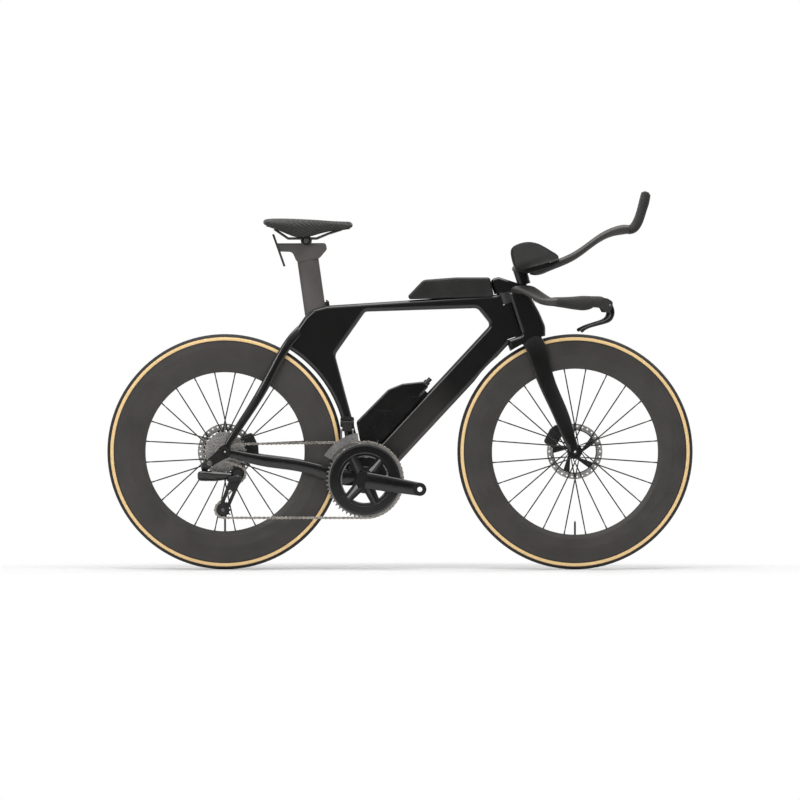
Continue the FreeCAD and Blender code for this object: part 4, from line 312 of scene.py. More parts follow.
def rotorSteel():
    finish = Finish("rotorSteel")
    reach = wheelRadius(finish)
    around = wheelAngle(finish)
    ring = reach.spread(0.0635, 0.0642)
    brushed = finish.noise(1.0, 4.0, 0.7)
    circles = (reach * 9000.0 + finish.noise(40.0) * 6.0).sine() * 0.5 + 0.5
    silver = finish.blend(circles, (0.44, 0.43, 0.42), (0.66, 0.65, 0.63))
    silver = finish.blend(brushed * 0.3, silver, (0.36, 0.35, 0.34))
    heat = (around * 3.0).sine().spread(-1.0, 1.0, 0.0, 0.08)
    silver = finish.blend(heat, silver, (0.40, 0.33, 0.24))
    black = finish.blend(finish.noise(200.0), (0.012, 0.012, 0.012), (0.024, 0.023, 0.022))
    finish.set(
        Base_Color=finish.blend(ring, black, silver),
        Metallic=ring.spread(0.0, 1.0, 0.35, 1.0),
        Roughness=circles.spread(0.0, 1.0, 0.26, 0.40),
        Normal=finish.bump(circles, 0.00002, 0.5),
    )
    return finish.material


def ringGloss():
    finish = Finish("ringGloss", edge=0.0016, Coat_Roughness=0.05, Specular_IOR_Level=0.2)
    reach = finish.radius(*bike["crank"])
    teeth = reach.spread(0.1005, 0.1025)
    turned = (reach * 7000.0).sine() * 0.5 + 0.5
    face = finish.blend(finish.noise(50.0, 2.0), (0.0045, 0.0045, 0.0045), (0.0085, 0.0083, 0.0081))
    worn = finish.blend(finish.noise(260.0, 3.0), (0.16, 0.155, 0.15), (0.34, 0.33, 0.32))
    finish.set(
        Base_Color=finish.blend(teeth, face, worn),
        Metallic=teeth,
        Roughness=teeth.spread(0.0, 1.0, 0.20, 0.38),
        Coat_Weight=(1.0 - teeth) * 0.9,
        Normal=finish.bump(turned, 0.00001, 0.4),
    )
    return finish.material


def mouldedPlastic(name, dark, light, rough, grain=1400.0):
    finish = Finish(name, edge=0.0014, Specular_IOR_Level=0.35)
    pores = finish.cells(grain)
    drift = finish.noise(14.0, 3.0)
    finish.set(
        Base_Color=finish.blend(drift.spread(0.3, 0.7), dark, light),
        Roughness=drift.spread(0.3, 0.7, rough - 0.04, rough + 0.05),
        Normal=finish.bump(pores, 0.00005, 0.6),
    )
    return finish.material


def glossShell(name, dark, light):
    finish = Finish(name, edge=0.0022, Coat_Roughness=0.05, Specular_IOR_Level=0.2)
    drift = finish.noise(10.0, 3.0)
    finish.set(
        Base_Color=finish.blend(drift.spread(0.3, 0.7), dark, light),
        Roughness=drift.spread(0.3, 0.7, 0.22, 0.32),
        Coat_Weight=0.8,
        Normal=finish.bump(finish.noise(1200.0, 1.0), 0.00001, 0.3),
    )
    return finish.material


def gripRubber(name, lean, pitch):
    # fine knurl: two families of ribs, one across the grip and one round it
    finish = Finish(name, Specular_IOR_Level=0.3, Sheen_Weight=0.12, Sheen_Roughness=0.5)
    run = finish.x * math.cos(lean) + finish.z * math.sin(lean)
    side = finish.z * math.cos(lean) - finish.x * math.sin(lean) + finish.y
    step = 2 * math.pi / pitch
    knurl = ((run * step + side * step).sine() + (run * step - side * step).sine()) * 0.25 + 0.5
    drift = finish.noise(26.0, 3.0)
    colour = finish.blend(drift.spread(0.3, 0.7), (0.014, 0.0135, 0.013), (0.024, 0.023, 0.022))
    finish.set(
        Base_Color=finish.blend(knurl * 0.35, colour, (0.040, 0.038, 0.036)),
        Roughness=drift.spread(0.3, 0.7, 0.62, 0.74),
        Normal=finish.bump(knurl, 0.00022, 0.8),
    )
    return finish.material


def saddleCover():  # printed lattice: open cells between crossing ribs
    finish = Finish("saddleCover", Specular_IOR_Level=0.35, Sheen_Weight=0.1)
    girth = abs(finish.y) + finish.z
    step = math.pi / 0.0085
    cells = abs(((finish.x + girth) * step).sine()) * abs(((finish.x - girth) * step).sine())
    gap = cells.spread(0.16, 0.5)
    drift = finish.noise(18.0, 3.0)
    rib = finish.blend(drift.spread(0.3, 0.7), (0.030, 0.029, 0.028), (0.048, 0.046, 0.044))
    finish.set(
        Base_Color=finish.blend(gap, rib, (0.0045, 0.0044, 0.0043)),
        Roughness=drift.spread(0.3, 0.7, 0.50, 0.64),
        Normal=finish.bump(1.0 - gap, 0.0009, 0.8),
    )
    return finish.material


def padFabric():
    finish = Finish("padFabric", Specular_IOR_Level=0.25, Sheen_Weight=0.35, Sheen_Roughness=0.45)
    lean = math.radians(15.6)
    run = finish.x * math.cos(lean) + finish.z * math.sin(lean)
    rise = finish.z * math.cos(lean) - finish.x * math.sin(lean)
    step = 2 * math.pi / 0.0016
    knit = (run * step).sine() * ((rise + finish.y) * step).sine() * 0.5 + 0.5
    drift = finish.noise(34.0, 3.0)
    colour = finish.blend(drift.spread(0.3, 0.7), (0.016, 0.0155, 0.015), (0.028, 0.027, 0.026))
    finish.set(
        Base_Color=finish.blend(knit * 0.4, colour, (0.045, 0.043, 0.041)),
        Roughness=drift.spread(0.3, 0.7, 0.74, 0.86),
        Normal=finish.bump(knit, 0.00035, 0.8),
    )
    return finish.material


finishes = {
    "frameGloss": glossPaint(),
    "carbonSatin": satinCarbon("carbonSatin", (0.020, 0.0185, 0.0175), (0.034, 0.032, 0.030), 0.46),
    "postSatin": satinCarbon("postSatin", (0.055, 0.049, 0.047), (0.082, 0.075, 0.072), 0.50),
    "barSatin": satinCarbon("barSatin", (0.022, 0.020, 0.0185), (0.034, 0.031, 0.029), 0.46),
    "wingSatin": satinCarbon("wingSatin", (0.022, 0.020, 0.0185), (0.034, 0.031, 0.029), 0.46, clamp=0.034),
    "rimCarbon": rimCarbon(),
    "tyreRubber": tyreRubber(),
    "spokeSteel": steel("spokeSteel", (0.008, 0.0078, 0.0076), (0.017, 0.0165, 0.016), 0.40, 0.2),
    "anodised": steel("anodised", (0.018, 0.0175, 0.017), (0.036, 0.035, 0.034), 0.34, 0.7),
    "boltSteel": steel("boltSteel", (0.16, 0.155, 0.15), (0.30, 0.29, 0.28), 0.30),
    "railSteel": steel("railSteel", (0.05, 0.048, 0.046), (0.10, 0.096, 0.092), 0.34, 0.9),
    "chainSteel": steel("chainSteel", (0.34, 0.315, 0.28), (0.60, 0.565, 0.51), 0.26),
    "sprocketSteel": steel("sprocketSteel", (0.34, 0.325, 0.31), (0.58, 0.565, 0.55), 0.33),
    "rotorSteel": rotorSteel(),
    "ringGloss": ringGloss(),
    "crankGloss": glossShell("crankGloss", (0.0040, 0.0040, 0.0040), (0.0075, 0.0073, 0.0071)),
    "mechPlastic": mouldedPlastic("mechPlastic", (0.012, 0.012, 0.012), (0.024, 0.0235, 0.023), 0.36),
    "mechGrey": steel("mechGrey", (0.20, 0.195, 0.19), (0.36, 0.35, 0.34), 0.34, 0.9),
    "barGrip": gripRubber("barGrip", 0.0, 0.0024),
    "hornGrip": gripRubber("hornGrip", math.radians(69.0), 0.0022),
    "buttonRubber": mouldedPlastic("buttonRubber", (0.050, 0.048, 0.046), (0.078, 0.075, 0.072), 0.55),
    "saddleCover": saddleCover(),
    "shellPlastic": mouldedPlastic("shellPlastic", (0.010, 0.010, 0.010), (0.020, 0.0195, 0.019), 0.48, 900.0),
    "padFabric": padFabric(),
    "bottleGloss": glossShell("bottleGloss", (0.0030, 0.0029, 0.0028), (0.0055, 0.0053, 0.0051)),
    "cupSatin": satinCarbon("cupSatin", (0.016, 0.0155, 0.015), (0.028, 0.027, 0.026), 0.52),
    "leverGloss": glossShell("leverGloss", (0.0035, 0.0034, 0.0033), (0.0065, 0.0063, 0.0061)),
    "trimGloss": glossShell("trimGloss", (0.0045, 0.0044, 0.0043), (0.0085, 0.0083, 0.0081)),
    "pipingRubber": mouldedPlastic("pipingRubber", (0.006, 0.006, 0.006), (0.012, 0.0118, 0.0115), 0.42),
    "cageCarbon": glossShell("cageCarbon", (0.0034, 0.0033, 0.0032), (0.0060, 0.0058, 0.0056)),
    "boxPlastic": mouldedPlastic("boxPlastic", (0.012, 0.0115, 0.011), (0.019, 0.018, 0.017), 0.46, 1500.0),
}
print("finishes made:", len(finishes))

finishOf = {
    "frame": "frameGloss", "fork": "frameGloss", "stem_cover": "frameGloss", "seat_clamp": "anodised",
    "bottom_bracket_cups": "anodised", "headset_bearings": "anodised", "rear_axle": "anodised",
    "front_axle": "anodised", "derailleur_hanger": "anodised", "rear_mech_bracket": "mechPlastic",
    "rear_mech_link": "mechPlastic", "rear_mech_knuckle": "mechPlastic", "rear_mech_cage": "mechPlastic",
    "guide_pulley": "mechPlastic", "tension_pulley": "mechPlastic", "front_mech_base": "mechPlastic",
    "front_mech_link": "mechPlastic", "front_mech_cage": "mechGrey", "front_caliper": "mechPlastic",
    "rear_caliper": "mechPlastic", "bottle_cage": "cageCarbon", "bottle": "bottleGloss",
    "top_tube_box": "boxPlastic", "box_lid": "boxPlastic", "chain": "chainSteel",
    "seat_post": "postSatin", "rear_cage_plate": "carbonSatin", "saddle_clamp": "anodised",
    "saddle_rails": "railSteel", "saddle_shell": "shellPlastic", "base_bar": "wingSatin",
    "base_bar_grips": "barGrip", "lever_bodies": "barGrip", "riser_post": "frameGloss",
    "armrest_bracket": "anodised", "arm_cups": "carbonSatin", "extension_bars": "barSatin",
    "extension_grips": "hornGrip", "shift_button_left": "buttonRubber", "shift_button_right": "buttonRubber",
    "brake_lever_left": "carbonSatin", "brake_lever_right": "carbonSatin", "cassette": "sprocketSteel",
    "crank_arm_right": "crankGloss", "crank_arm_left": "crankGloss", "outer_chainring": "ringGloss",
    "inner_chainring": "mechGrey",
    "front_tyre": "tyreRubber", "rear_tyre": "tyreRubber", "front_rim": "rimCarbon", "rear_rim": "rimCarbon",
    "front_spokes": "spokeSteel", "rear_spokes": "spokeSteel", "front_hub": "anodised", "rear_hub": "anodised",
    "front_rotor": "rotorSteel", "rear_rotor": "rotorSteel",
}

for name, finish in finishOf.items():
    slots = nodes[name].data.materials
    slots.clear()
    slots.append(finishes[finish])
print("CAD nodes finished:", len(finishOf))


# pieces made here


def keepPiece(name, mesh, finish, body, replaced=()):
    mesh.materials.clear()
    mesh.materials.append(finishes[finish])
    piece = bpy.data.objects.new(name, mesh)
    bpy.context.scene.collection.objects.link(piece)
    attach(piece, body)
    if replaced:
        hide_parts(*replaced)
    return piece


def meshOf(name, points, faces, smooth=True):
    mesh = bpy.data.meshes.new(name)
    mesh.from_pydata([tuple(point) for point in points], [], faces)
    mesh.validate()
    form = bmesh.new()
    form.from_mesh(mesh)
    bmesh.ops.remove_doubles(form, verts=form.verts, dist=1e-6)
    bmesh.ops.recalc_face_normals(form, faces=form.faces)
    form.to_mesh(mesh)
    form.free()
    mesh.polygons.foreach_set("use_smooth", [smooth] * len(mesh.polygons))
    return mesh


def smoothCurve(values, count):  # even samples of a curve through rows of numbers
    samples = []
    last = len(values) - 1
    for index in range(count):
        spot = index / (count - 1) * last
        low = min(int(spot), last - 1)
        part = spot - low
        before, start = values[max(low - 1, 0)], values[low]
        end, after = values[low + 1], values[min(low + 2, last)]
        row = []
        for a, b, c, d in zip(before, start, end, after):
            row.append(
                0.5 * (2 * b + (c - a) * part + (2 * a - 5 * b + 4 * c - d) * part ** 2
                       + (3 * b - a - 3 * c + d) * part ** 3)
            )
        samples.append(row)
    return samples


def wallFaces(rings, sides, first=0):  # a skin over rings of points, open at both ends
    faces = []
    for ring in range(rings - 1):
        near, far = first + ring * sides, first + (ring + 1) * sides
        for spot in range(sides):
            after = (spot + 1) % sides
            faces.append((near + spot, near + after, far + after, far + spot))
    return faces


def ringFaces(rings, sides, first=0):  # the same skin with both ends closed
    last = first + (rings - 1) * sides
    ends = [tuple(range(first, first + sides)), tuple(range(last, last + sides))]
    return wallFaces(rings, sides, first) + ends


def roundSquare(sides, square):  # points of a rounded square of half size 1
    loop = []
    for spot in range(sides):
        turn = 2 * math.pi * spot / sides
        loop.append([math.copysign(abs(part) ** (2 / square), part) for part in (math.cos(turn), math.sin(turn))])
    return loop


def joinForms(forms):  # several (points, faces) as one
    points, faces = [], []
    for more, outline in forms:
        faces += [tuple(len(points) + spot for spot in face) for face in outline]
        points += more
    return points, faces


saddle = {
    "centreX": -269.86, "railZ": 953.0, "rings": 64, "channelDepth": 5.5, "channelWidth": 13.0,
    # place along, half width, crown height, skirt height
    "stations": [
        (-122.4, 31.0, 52, 42), (-114.4, 52.4, 56, 37), (-88.4, 66.9, 58, 28), (-56.4, 69.0, 58, 15),
        (-24.4, 59.3, 57, 5), (3.6, 45.5, 56, 6), (33.6, 34.5, 55, 14), (67.6, 27.6, 53, 22),
        (104.6, 23.0, 51, 26), (125.6, 17.9, 48, 30), (132.6, 11.5, 43, 34),
    ],
    "height": 22.0, "fill": 0.85, "endBulge": 1.5,
    "crownSteps": 15, "crownShare": 0.64, "crownDrop": 2.2, "hollowSteps": 10, "hollowShare": 0.86,
    # the channel's start, end and the lengths over which it fades
    "channelFade": (-95, 40, 122, 30), "channelFall": 1.6,
    # share of the half width and drop from the crown
    "shoulder": [(0.80, 4.6), (0.93, 9.0)],
}


def saddleSection(half, top, low, ahead):  # closed loop of (y, z), crown first
    brow = saddle["crownShare"] * half
    waist = (top + low) / 2 + 2
    start, rise, stop, fall = saddle["channelFade"]
    fade = min(max((ahead - start) / rise, 0), 1) * min(max((stop - ahead) / fall, 0), 1)
    depth = saddle["channelDepth"] * fade
    width = min(saddle["channelWidth"], half * 0.5)
    loop = []
    crown = saddle["crownSteps"]
    for index in range(-crown, crown + 1):
        y = brow * index / crown
        channel = depth * math.exp(-((y / width) ** 2) * saddle["channelFall"])
        loop.append((y, top - saddle["crownDrop"] * (y / brow) ** 2 - channel))
    flank = [(half * share, top - drop) for share, drop in saddle["shoulder"]]
    flank += [(half * 0.995, waist), (half * 0.985, (waist + low) / 2), (half * 0.955, low + 1.2), (half * 0.92, low)]
    loop += flank
    hollow = max(top - saddle["height"], low + 0.6)
    under = saddle["hollowSteps"]
    reach = half * saddle["hollowShare"]
    for index in range(under, -under - 1, -1):
        loop.append((reach * index / under, low + (hollow - low) * (1 - (index / under) ** 2)))
    return loop + [(-y, z) for y, z in reversed(flank)]


def makeSaddle():
    points = []
    rings = smoothCurve(saddle["stations"], saddle["rings"])
    for ahead, half, top, low in rings:
        for y, z in saddleSection(half, top, low, ahead):
            points.append(Vector((saddle["centreX"] + ahead, y, saddle["railZ"] + z)) * mm)
    size = len(points) // len(rings)
    faces = wallFaces(len(rings), size)
    for start, way in ((0, -1), (len(points) - size, 1)):  # rounded ends close on a middle point
        middle = sum((points[start + spot] for spot in range(size)), Vector()) / size
        middle.x += way * saddle["endBulge"] * mm
        points.append(middle)
        for spot in range(size):
            faces.append((start + spot, start + (spot + 1) % size, len(points) - 1))
    mesh = meshOf("saddle_cushion", points, faces)
    node = "saddle_pad"
    piece = keepPiece("saddle_cushion", mesh, "saddleCover", bodyOf[node], [node])


armPad = {
    "bottom": (382.32, 870.98), "tilt": 15.6, "spacing": 76.0, "outer": 38.65, "floor": 3.35, "thickness": 14.5,
    "rows": 44, "columns": 48, "fill": 0.75,
    "wall": 3.35, "piping": 2.1, "inset": 2.5,
    # the cushion's share of the length, lowest rim, gap to the shell, lip, and how square and round its edge is
    "share": 0.955, "lowest": 9.0, "gap": 0.05, "lip": 1.2, "square": 7, "round": 0.4,
    # place along and rim height
    "rim": [
        (-48.5, 16.0), (-48.9, 34.0), (-47.6, 51.0), (-44.5, 62.0), (-38.0, 69.0), (-28.0, 72.5), (-14.0, 73.4),
        (0.0, 72.0), (14.0, 67.5), (30.0, 58.5), (46.0, 44.0), (60.0, 29.5), (70.0, 19.5), (75.0, 12.0),
    ],
}


def armSection(length, depth):  # (y, z) at a distance round the trough, moved inwards by depth
    outer, floor = armPad["outer"], armPad["floor"]
    quarter = outer * math.pi / 2
    side = 1 if length >= 0 else -1
    if abs(length) <= quarter:
        turn = abs(length) / outer
        return side * (outer - depth) * math.sin(turn), floor + outer - (outer - depth) * math.cos(turn)
    return side * (outer - depth), floor + outer + abs(length) - quarter


def armReach(height):  # distance round the trough from its floor to a height
    outer, floor = armPad["outer"], armPad["floor"]
    if height < floor + outer:
        return outer * math.acos(1 - (height - floor) / outer)
    return outer * math.pi / 2 + height - floor - outer


def armPoint(along, length, depth, side):
    tilt = math.radians(armPad["tilt"])
    run = Vector((math.cos(tilt), 0, math.sin(tilt)))
    rise = Vector((-math.sin(tilt), 0, math.cos(tilt)))
    y, z = armSection(length, depth)
    base = Vector((armPad["bottom"][0], y + side * armPad["spacing"], armPad["bottom"][1]))
    return (base + run * along + rise * z) * mm


def armSheets(rim, depthAt):  # two closed skins between an outer and an inner sheet
    points, faces = [], []
    rows, columns = armPad["rows"], armPad["columns"]
    sheet = rows * (columns + 1)
    for side in (1, -1):
        first = len(points)
        for inner in (0, 1):
            for row, (along, height) in enumerate(rim):
                for column in range(columns + 1):
                    across = 2 * column / columns - 1
                    edge = row in (0, rows - 1) or column in (0, columns)
                    depth = depthAt(inner, 2 * row / (rows - 1) - 1, across, edge)
                    points.append(armPoint(along, across * armReach(height), depth, side))
        for inner in (0, 1):
            for row in range(rows - 1):
                for column in range(columns):
                    corner = first + inner * sheet + row * (columns + 1) + column
                    faces.append((corner, corner + 1, corner + columns + 2, corner + columns + 1))
        border = [row * (columns + 1) for row in range(rows)]
        border += [(rows - 1) * (columns + 1) + column for column in range(1, columns + 1)]
        border += [row * (columns + 1) + columns for row in range(rows - 2, -1, -1)]
        border += list(range(columns - 1, 0, -1))
        for spot, after in zip(border, border[1:] + border[:1]):
            faces.append((first + spot, first + after, first + sheet + after, first + sheet + spot))
    return points, faces


def cushionDepth(inner, lengthwise, crosswise, edge):  # full in the middle, rounded off at its edges
    if not inner or edge:
        return armPad["gap"]
    soft = 1
    for place in (lengthwise, crosswise):
        soft *= (1 - abs(place) ** armPad["square"]) ** armPad["round"]
    return armPad["lip"] + (armPad["thickness"] - armPad["lip"]) * soft


def shellDepth(inner, lengthwise, crosswise, edge):
    return 0.0 if inner else -armPad["wall"]


def tubeAlong(name, paths, radius):  # closed round beads through points
    curve = bpy.data.curves.new(name, "CURVE")
    curve.dimensions = "3D"
    curve.bevel_depth, curve.bevel_resolution = radius, 3
    for path in paths:
        spline = curve.splines.new("POLY")
        spline.points.add(len(path) - 1)
        for spot, place in zip(spline.points, path):
            spot.co = (*place, 1)
        spline.use_cyclic_u = True
    holder = bpy.data.objects.new(name, curve)
    mesh = bpy.data.meshes.new_from_object(holder)
    bpy.data.objects.remove(holder)
    mesh.polygons.foreach_set("use_smooth", [True] * len(mesh.polygons))
    return mesh


def makeArmPads():
    body = bodyOf["arm_pads"]
    rim = smoothCurve(armPad["rim"], armPad["rows"])
    mesh = meshOf("arm_shells", *armSheets(rim, shellDepth))
    keepPiece("arm_shells", mesh, "cupSatin", body, ["arm_cups"])
    share, inset, lowest = armPad["share"], armPad["inset"], armPad["lowest"]
    soft = [(along * share, max(height - inset, lowest)) for along, height in rim]
    mesh = meshOf("arm_cushions", *armSheets(soft, cushionDepth))
    piece = keepPiece("arm_cushions", mesh, "padFabric", body, ["arm_pads"])
    paths = []
    for side in (1, -1):
        middle = -armPad["wall"] / 2
        path = [armPoint(along, -armReach(height), middle, side) for along, height in rim]
        steps = armPad["columns"]
        for end, way in ((rim[-1], 1), (rim[0], -1)):
            if way < 0:
                path += [armPoint(along, armReach(height), middle, side) for along, height in reversed(rim)]
            reach = armReach(end[1])
            for step in range(1, steps):
                path.append(armPoint(end[0], way * (2 * step / steps - 1) * reach, middle, side))
        paths.append(path)
    mesh = tubeAlong("arm_piping", paths, armPad["piping"] * mm)
    keepPiece("arm_piping", mesh, "pipingRubber", body)


# lofted hand pieces


def loftOf(rows, rings, sides, square, shift):  # rows are (x, z, half height, half width), in millimetres
    points = []
    loop = roundSquare(sides, square)
    smooth = smoothCurve(rows, rings)
    for ring, (x, z, tall, wide) in enumerate(smooth):
        before, after = smooth[max(ring - 1, 0)], smooth[min(ring + 1, rings - 1)]
        run = Vector((after[0] - before[0], 0, after[1] - before[1])).normalized()
        rise = Vector((-run.z, 0, run.x))
        for u, v in loop:
            points.append((Vector((x, shift + v * wide, z)) + rise * (u * tall)) * mm)
    return points, ringFaces(rings, sides)


hands = {
    "span": 195.0,
    # rings, sides and squareness of each loft
    "sleeveLoft": (90, 32, 2.3), "leverLoft": (80, 20, 2.8),
    # x, z, half height and half width from the bar to the lever
    "sleeve": [
        (446.5, 770.8, 12.2, 14.4), (448.5, 770.6, 13.4, 15.6), (462, 769.6, 14.6, 15.8), (480, 768.4, 16.2, 15.8),
        (500, 767.2, 18.4, 16.0), (520, 766.8, 20.4, 16.4), (534, 768.2, 20.0, 16.6), (544, 770.2, 18.0, 16.4),
        (548, 771.0, 16.2, 15.8), (551, 771.2, 14.8, 14.6), (554, 771.2, 15.2, 14.9), (560, 771.0, 16.2, 15.4),
        (569, 770.2, 16.6, 15.0), (575, 769.4, 16.0, 14.2), (576.2, 769.2, 14.6, 12.8),
    ],
    "lever": [
        (599.6, 766.6, 2.0, 2.0), (600, 764.5, 5.0, 4.8), (603.2, 754.5, 6.2, 5.0), (605.8, 743, 6.2, 5.0),
        (604, 731, 6.2, 5.0), (597.5, 720.5, 6.0, 5.0), (584, 713.6, 5.2, 5.0), (563, 707.4, 4.6, 5.0),
        (541, 700.6, 4.2, 5.0), (527, 694.2, 4.4, 5.0), (520, 689.6, 5.4, 5.2), (516.4, 687, 4.6, 4.4),
        (515, 686, 1.6, 1.6),
    ],
}


def makeHandPieces():
    sleeves = [loftOf(hands["sleeve"], *hands["sleeveLoft"], side * hands["span"]) for side in (1, -1)]
    mesh = meshOf("grip_sleeves", *joinForms(sleeves))
    node = "base_bar_grips"
    keepPiece("grip_sleeves", mesh, "barGrip", bodyOf[node], [node])
    for side, node in ((1, "brake_lever_left"), (-1, "brake_lever_right")):
        mesh = meshOf(node + "_blade", *loftOf(hands["lever"], *hands["leverLoft"], side * hands["span"]))
        keepPiece(node + "_blade", mesh, "leverGloss", bodyOf[node], [node])


# repeated small parts, grown by Geometry Nodes on marked places


def makeTree(name, sizes):  # a tree with named inputs; returns its graph and its inputs
    tree = bpy.data.node_groups.new(name, "GeometryNodeTree")
    tree.interface.new_socket("Places", in_out="INPUT", socket_type="NodeSocketGeometry")
    for label in sizes:
        tree.interface.new_socket(label, in_out="INPUT", socket_type="NodeSocketFloat")
    tree.interface.new_socket("Finish", in_out="INPUT", socket_type="NodeSocketMaterial")
    tree.interface.new_socket("Parts", in_out="OUTPUT", socket_type="NodeSocketGeometry")
    graph = Graph(tree)
    given = graph.node("NodeGroupInput", out=None)
    return graph, {label: Wire(graph, given.outputs[label]) for label in ("Places", *sizes, "Finish")}


def closeTree(graph, given, part):  # sets a part on every place, along its axis and at its size
    axis = graph.node("GeometryNodeInputNamedAttribute", {"data_type": "FLOAT_VECTOR"}, {"Name": "axis"})
    size = graph.node("GeometryNodeInputNamedAttribute", {"data_type": "FLOAT"}, {"Name": "size"})
    turn = graph.node("FunctionNodeAlignRotationToVector", {"axis": "Z"}, {"Vector": axis})
    placed = graph.node(
        "GeometryNodeInstanceOnPoints",
        inputs={"Points": given["Places"], "Instance": part, "Rotation": turn, "Scale": size},
    )
    real = graph.node("GeometryNodeRealizeInstances", inputs={"Geometry": placed})
    flat = graph.node("GeometryNodeSetShadeSmooth", inputs={"Geometry": real, "Shade Smooth": False})
    done = graph.node("GeometryNodeSetMaterial", inputs={"Geometry": flat, "Material": given["Finish"]})
    graph.node("NodeGroupOutput", inputs={"Parts": done}, out=None)
    return graph.tree


def lifted(graph, part, height):
    up = graph.node("ShaderNodeCombineXYZ", inputs={"Z": height})
    return graph.node("GeometryNodeTransform", inputs={"Geometry": part, "Translation": up})


def makeBoltTree():  # socket screws: a chamfered head with a hexagon in it, on a washer
    graph, given = makeTree("socketScrews", ("Head Height", "Chamfer", "Socket Width", "Socket Depth"))
    head = graph.node(
        "GeometryNodeMeshCone",
        inputs={
            "Vertices": screws["round"], "Radius Top": given["Chamfer"], "Radius Bottom": 1.0,
            "Depth": given["Head Height"],
        },
        out="Mesh",
    )
    hexagon = graph.node(
        "GeometryNodeMeshCylinder",
        inputs={"Vertices": 6, "Radius": given["Socket Width"], "Depth": given["Socket Depth"] * 2.0},
        out="Mesh",
    )
    socket = lifted(graph, hexagon, given["Head Height"])
    cut = graph.node("GeometryNodeMeshBoolean", {"operation": "DIFFERENCE"}, {"Mesh 1": head, "Mesh 2": socket})
    washer = graph.node(
        "GeometryNodeMeshCylinder", inputs={"Vertices": screws["round"], **screws["washer"]}, out="Mesh"
    )
    pair = graph.node("GeometryNodeJoinGeometry", out=None)
    for part in (cut, washer):
        graph.feed(pair.inputs[0], part)
    return closeTree(graph, given, Wire(graph, pair.outputs[0]))


def makeNippleTree():  # spoke nipples: a square-sided taper
    graph, given = makeTree("spokeNipples", ("Length", "Tip"))
    taper = graph.node(
        "GeometryNodeMeshCone",
        inputs={"Vertices": 8, "Radius Top": given["Tip"], "Radius Bottom": 1.0, "Depth": given["Length"]},
        out="Mesh",
    )
    return closeTree(graph, given, taper)


def grow(tree, name, spots, finish, sizes):  # spots are (place, axis, size) in metres
    marks = bpy.data.meshes.new(name)
    marks.from_pydata([tuple(place) for place, axis, size in spots], [], [])
    marks.attributes.new("axis", "FLOAT_VECTOR", "POINT").data.foreach_set(
        "vector", [part for place, axis, size in spots for part in axis]
    )
    marks.attributes.new("size", "FLOAT", "POINT").data.foreach_set("value", [size for place, axis, size in spots])
    holder = bpy.data.objects.new(name, marks)
    bpy.context.scene.collection.objects.link(holder)
    modifier = holder.modifiers.new(name, "NODES")
    modifier.node_group = tree
    identifiers = {
        item.name: item.identifier for item in tree.interface.items_tree if item.in_out == "INPUT"
    }
    for label, value in {**sizes, "Finish": finishes[finish]}.items():
        modifier[identifiers[label]] = value
    grown = holder.evaluated_get(bpy.context.evaluated_depsgraph_get())
    mesh = bpy.data.meshes.new_from_object(grown)
    holder.modifiers.clear()
    bpy.data.objects.remove(holder)
    return mesh


def onSurface(node, place, aim):  # where a straight look along aim through a place first meets a node
    direction = Vector(aim).normalized()
    start = Vector(place) * mm - direction * screws["lookFrom"]
    hit, spot = nodes[node].ray_cast(start, direction)[:2]
    if not hit:
        raise ValueError("no surface for a screw on " + node)
    return spot


def around(centre, radius, angle):
    turn = math.radians(angle)
    return (centre[0] + radius * math.cos(turn), centre[1], centre[2] + radius * math.sin(turn))


screws = {
    "sizes": {"Head Height": 0.62, "Chamfer": 0.84, "Socket Width": 0.56, "Socket Depth": 0.42},
    "round": 18, "washer": {"Radius": 1.22, "Depth": 0.3}, "lookFrom": 0.4,
    # node, place, line of sight and head radius
    "places": [
        ("rear_mech_bracket", (-547, 0, 308), (0, 1, 0), 6.0),
        ("rear_mech_cage", (-508.2, 0, 173.3), (0, 1, 0), 4.0),
        ("saddle_clamp", (-269.86, 0, 947), (0, 1, 0), 6.0),
        ("saddle_clamp", (-269.86, 0, 947), (0, -1, 0), 6.0),
        ("crank_arm_left", (-100.86, 0, 259), (0, -1, 0), 10.0),
        ("lever_bodies", (599.0, -195, 761.2), (0, 1, 0), 3.0),
        ("lever_bodies", (599.0, 195, 761.2), (0, -1, 0), 3.0),
        ("seat_clamp", (-208.0, 0, 760), (0, 0, -1), 2.6),
    ],
}


def makeScrews():
    tree = makeBoltTree()
    spots = {}
    for node, place, aim, size in screws["places"]:
        axis = -Vector(aim).normalized()
        spot = onSurface(node, place, aim)
        spots.setdefault(bodyOf[node], []).append((spot, axis, size * mm))
    for body, marks in spots.items():
        mesh = grow(tree, "screws", marks, "boltSteel", screws["sizes"])
        keepPiece(body + "_screws", mesh, "boltSteel", body)


spokes = {
    "count": 24, "crossing": 60.0, "rimOuter": 319.0, "wall": 2.2, "thickness": 2.7,
    "sizes": {"Length": 5.2, "Tip": 0.72}, "nipple": 2.3, "sides": 12, "sunk": 2.0, "seat": 1.2, "rimOffset": 0.6,
    # share of the length, half width and half thickness of a bladed spoke
    "blade": [
        (0.0, 1.35, 1.35), (0.06, 1.35, 1.35), (0.13, 1.85, 0.8),
        (0.88, 1.85, 0.8), (0.95, 1.35, 1.35), (1.0, 1.35, 1.35),
    ],
    # wheel: axle, rim depth, flange radius and the two flanges' places across
    "wheels": {
        "front": ((504.0, 0.0, 339.0), 80.0, 19.0, (24.0, -36.0)),
        "rear": ((-504.0, 0.0, 339.0), 90.0, 24.0, (34.08, -16.33)),
    },
}


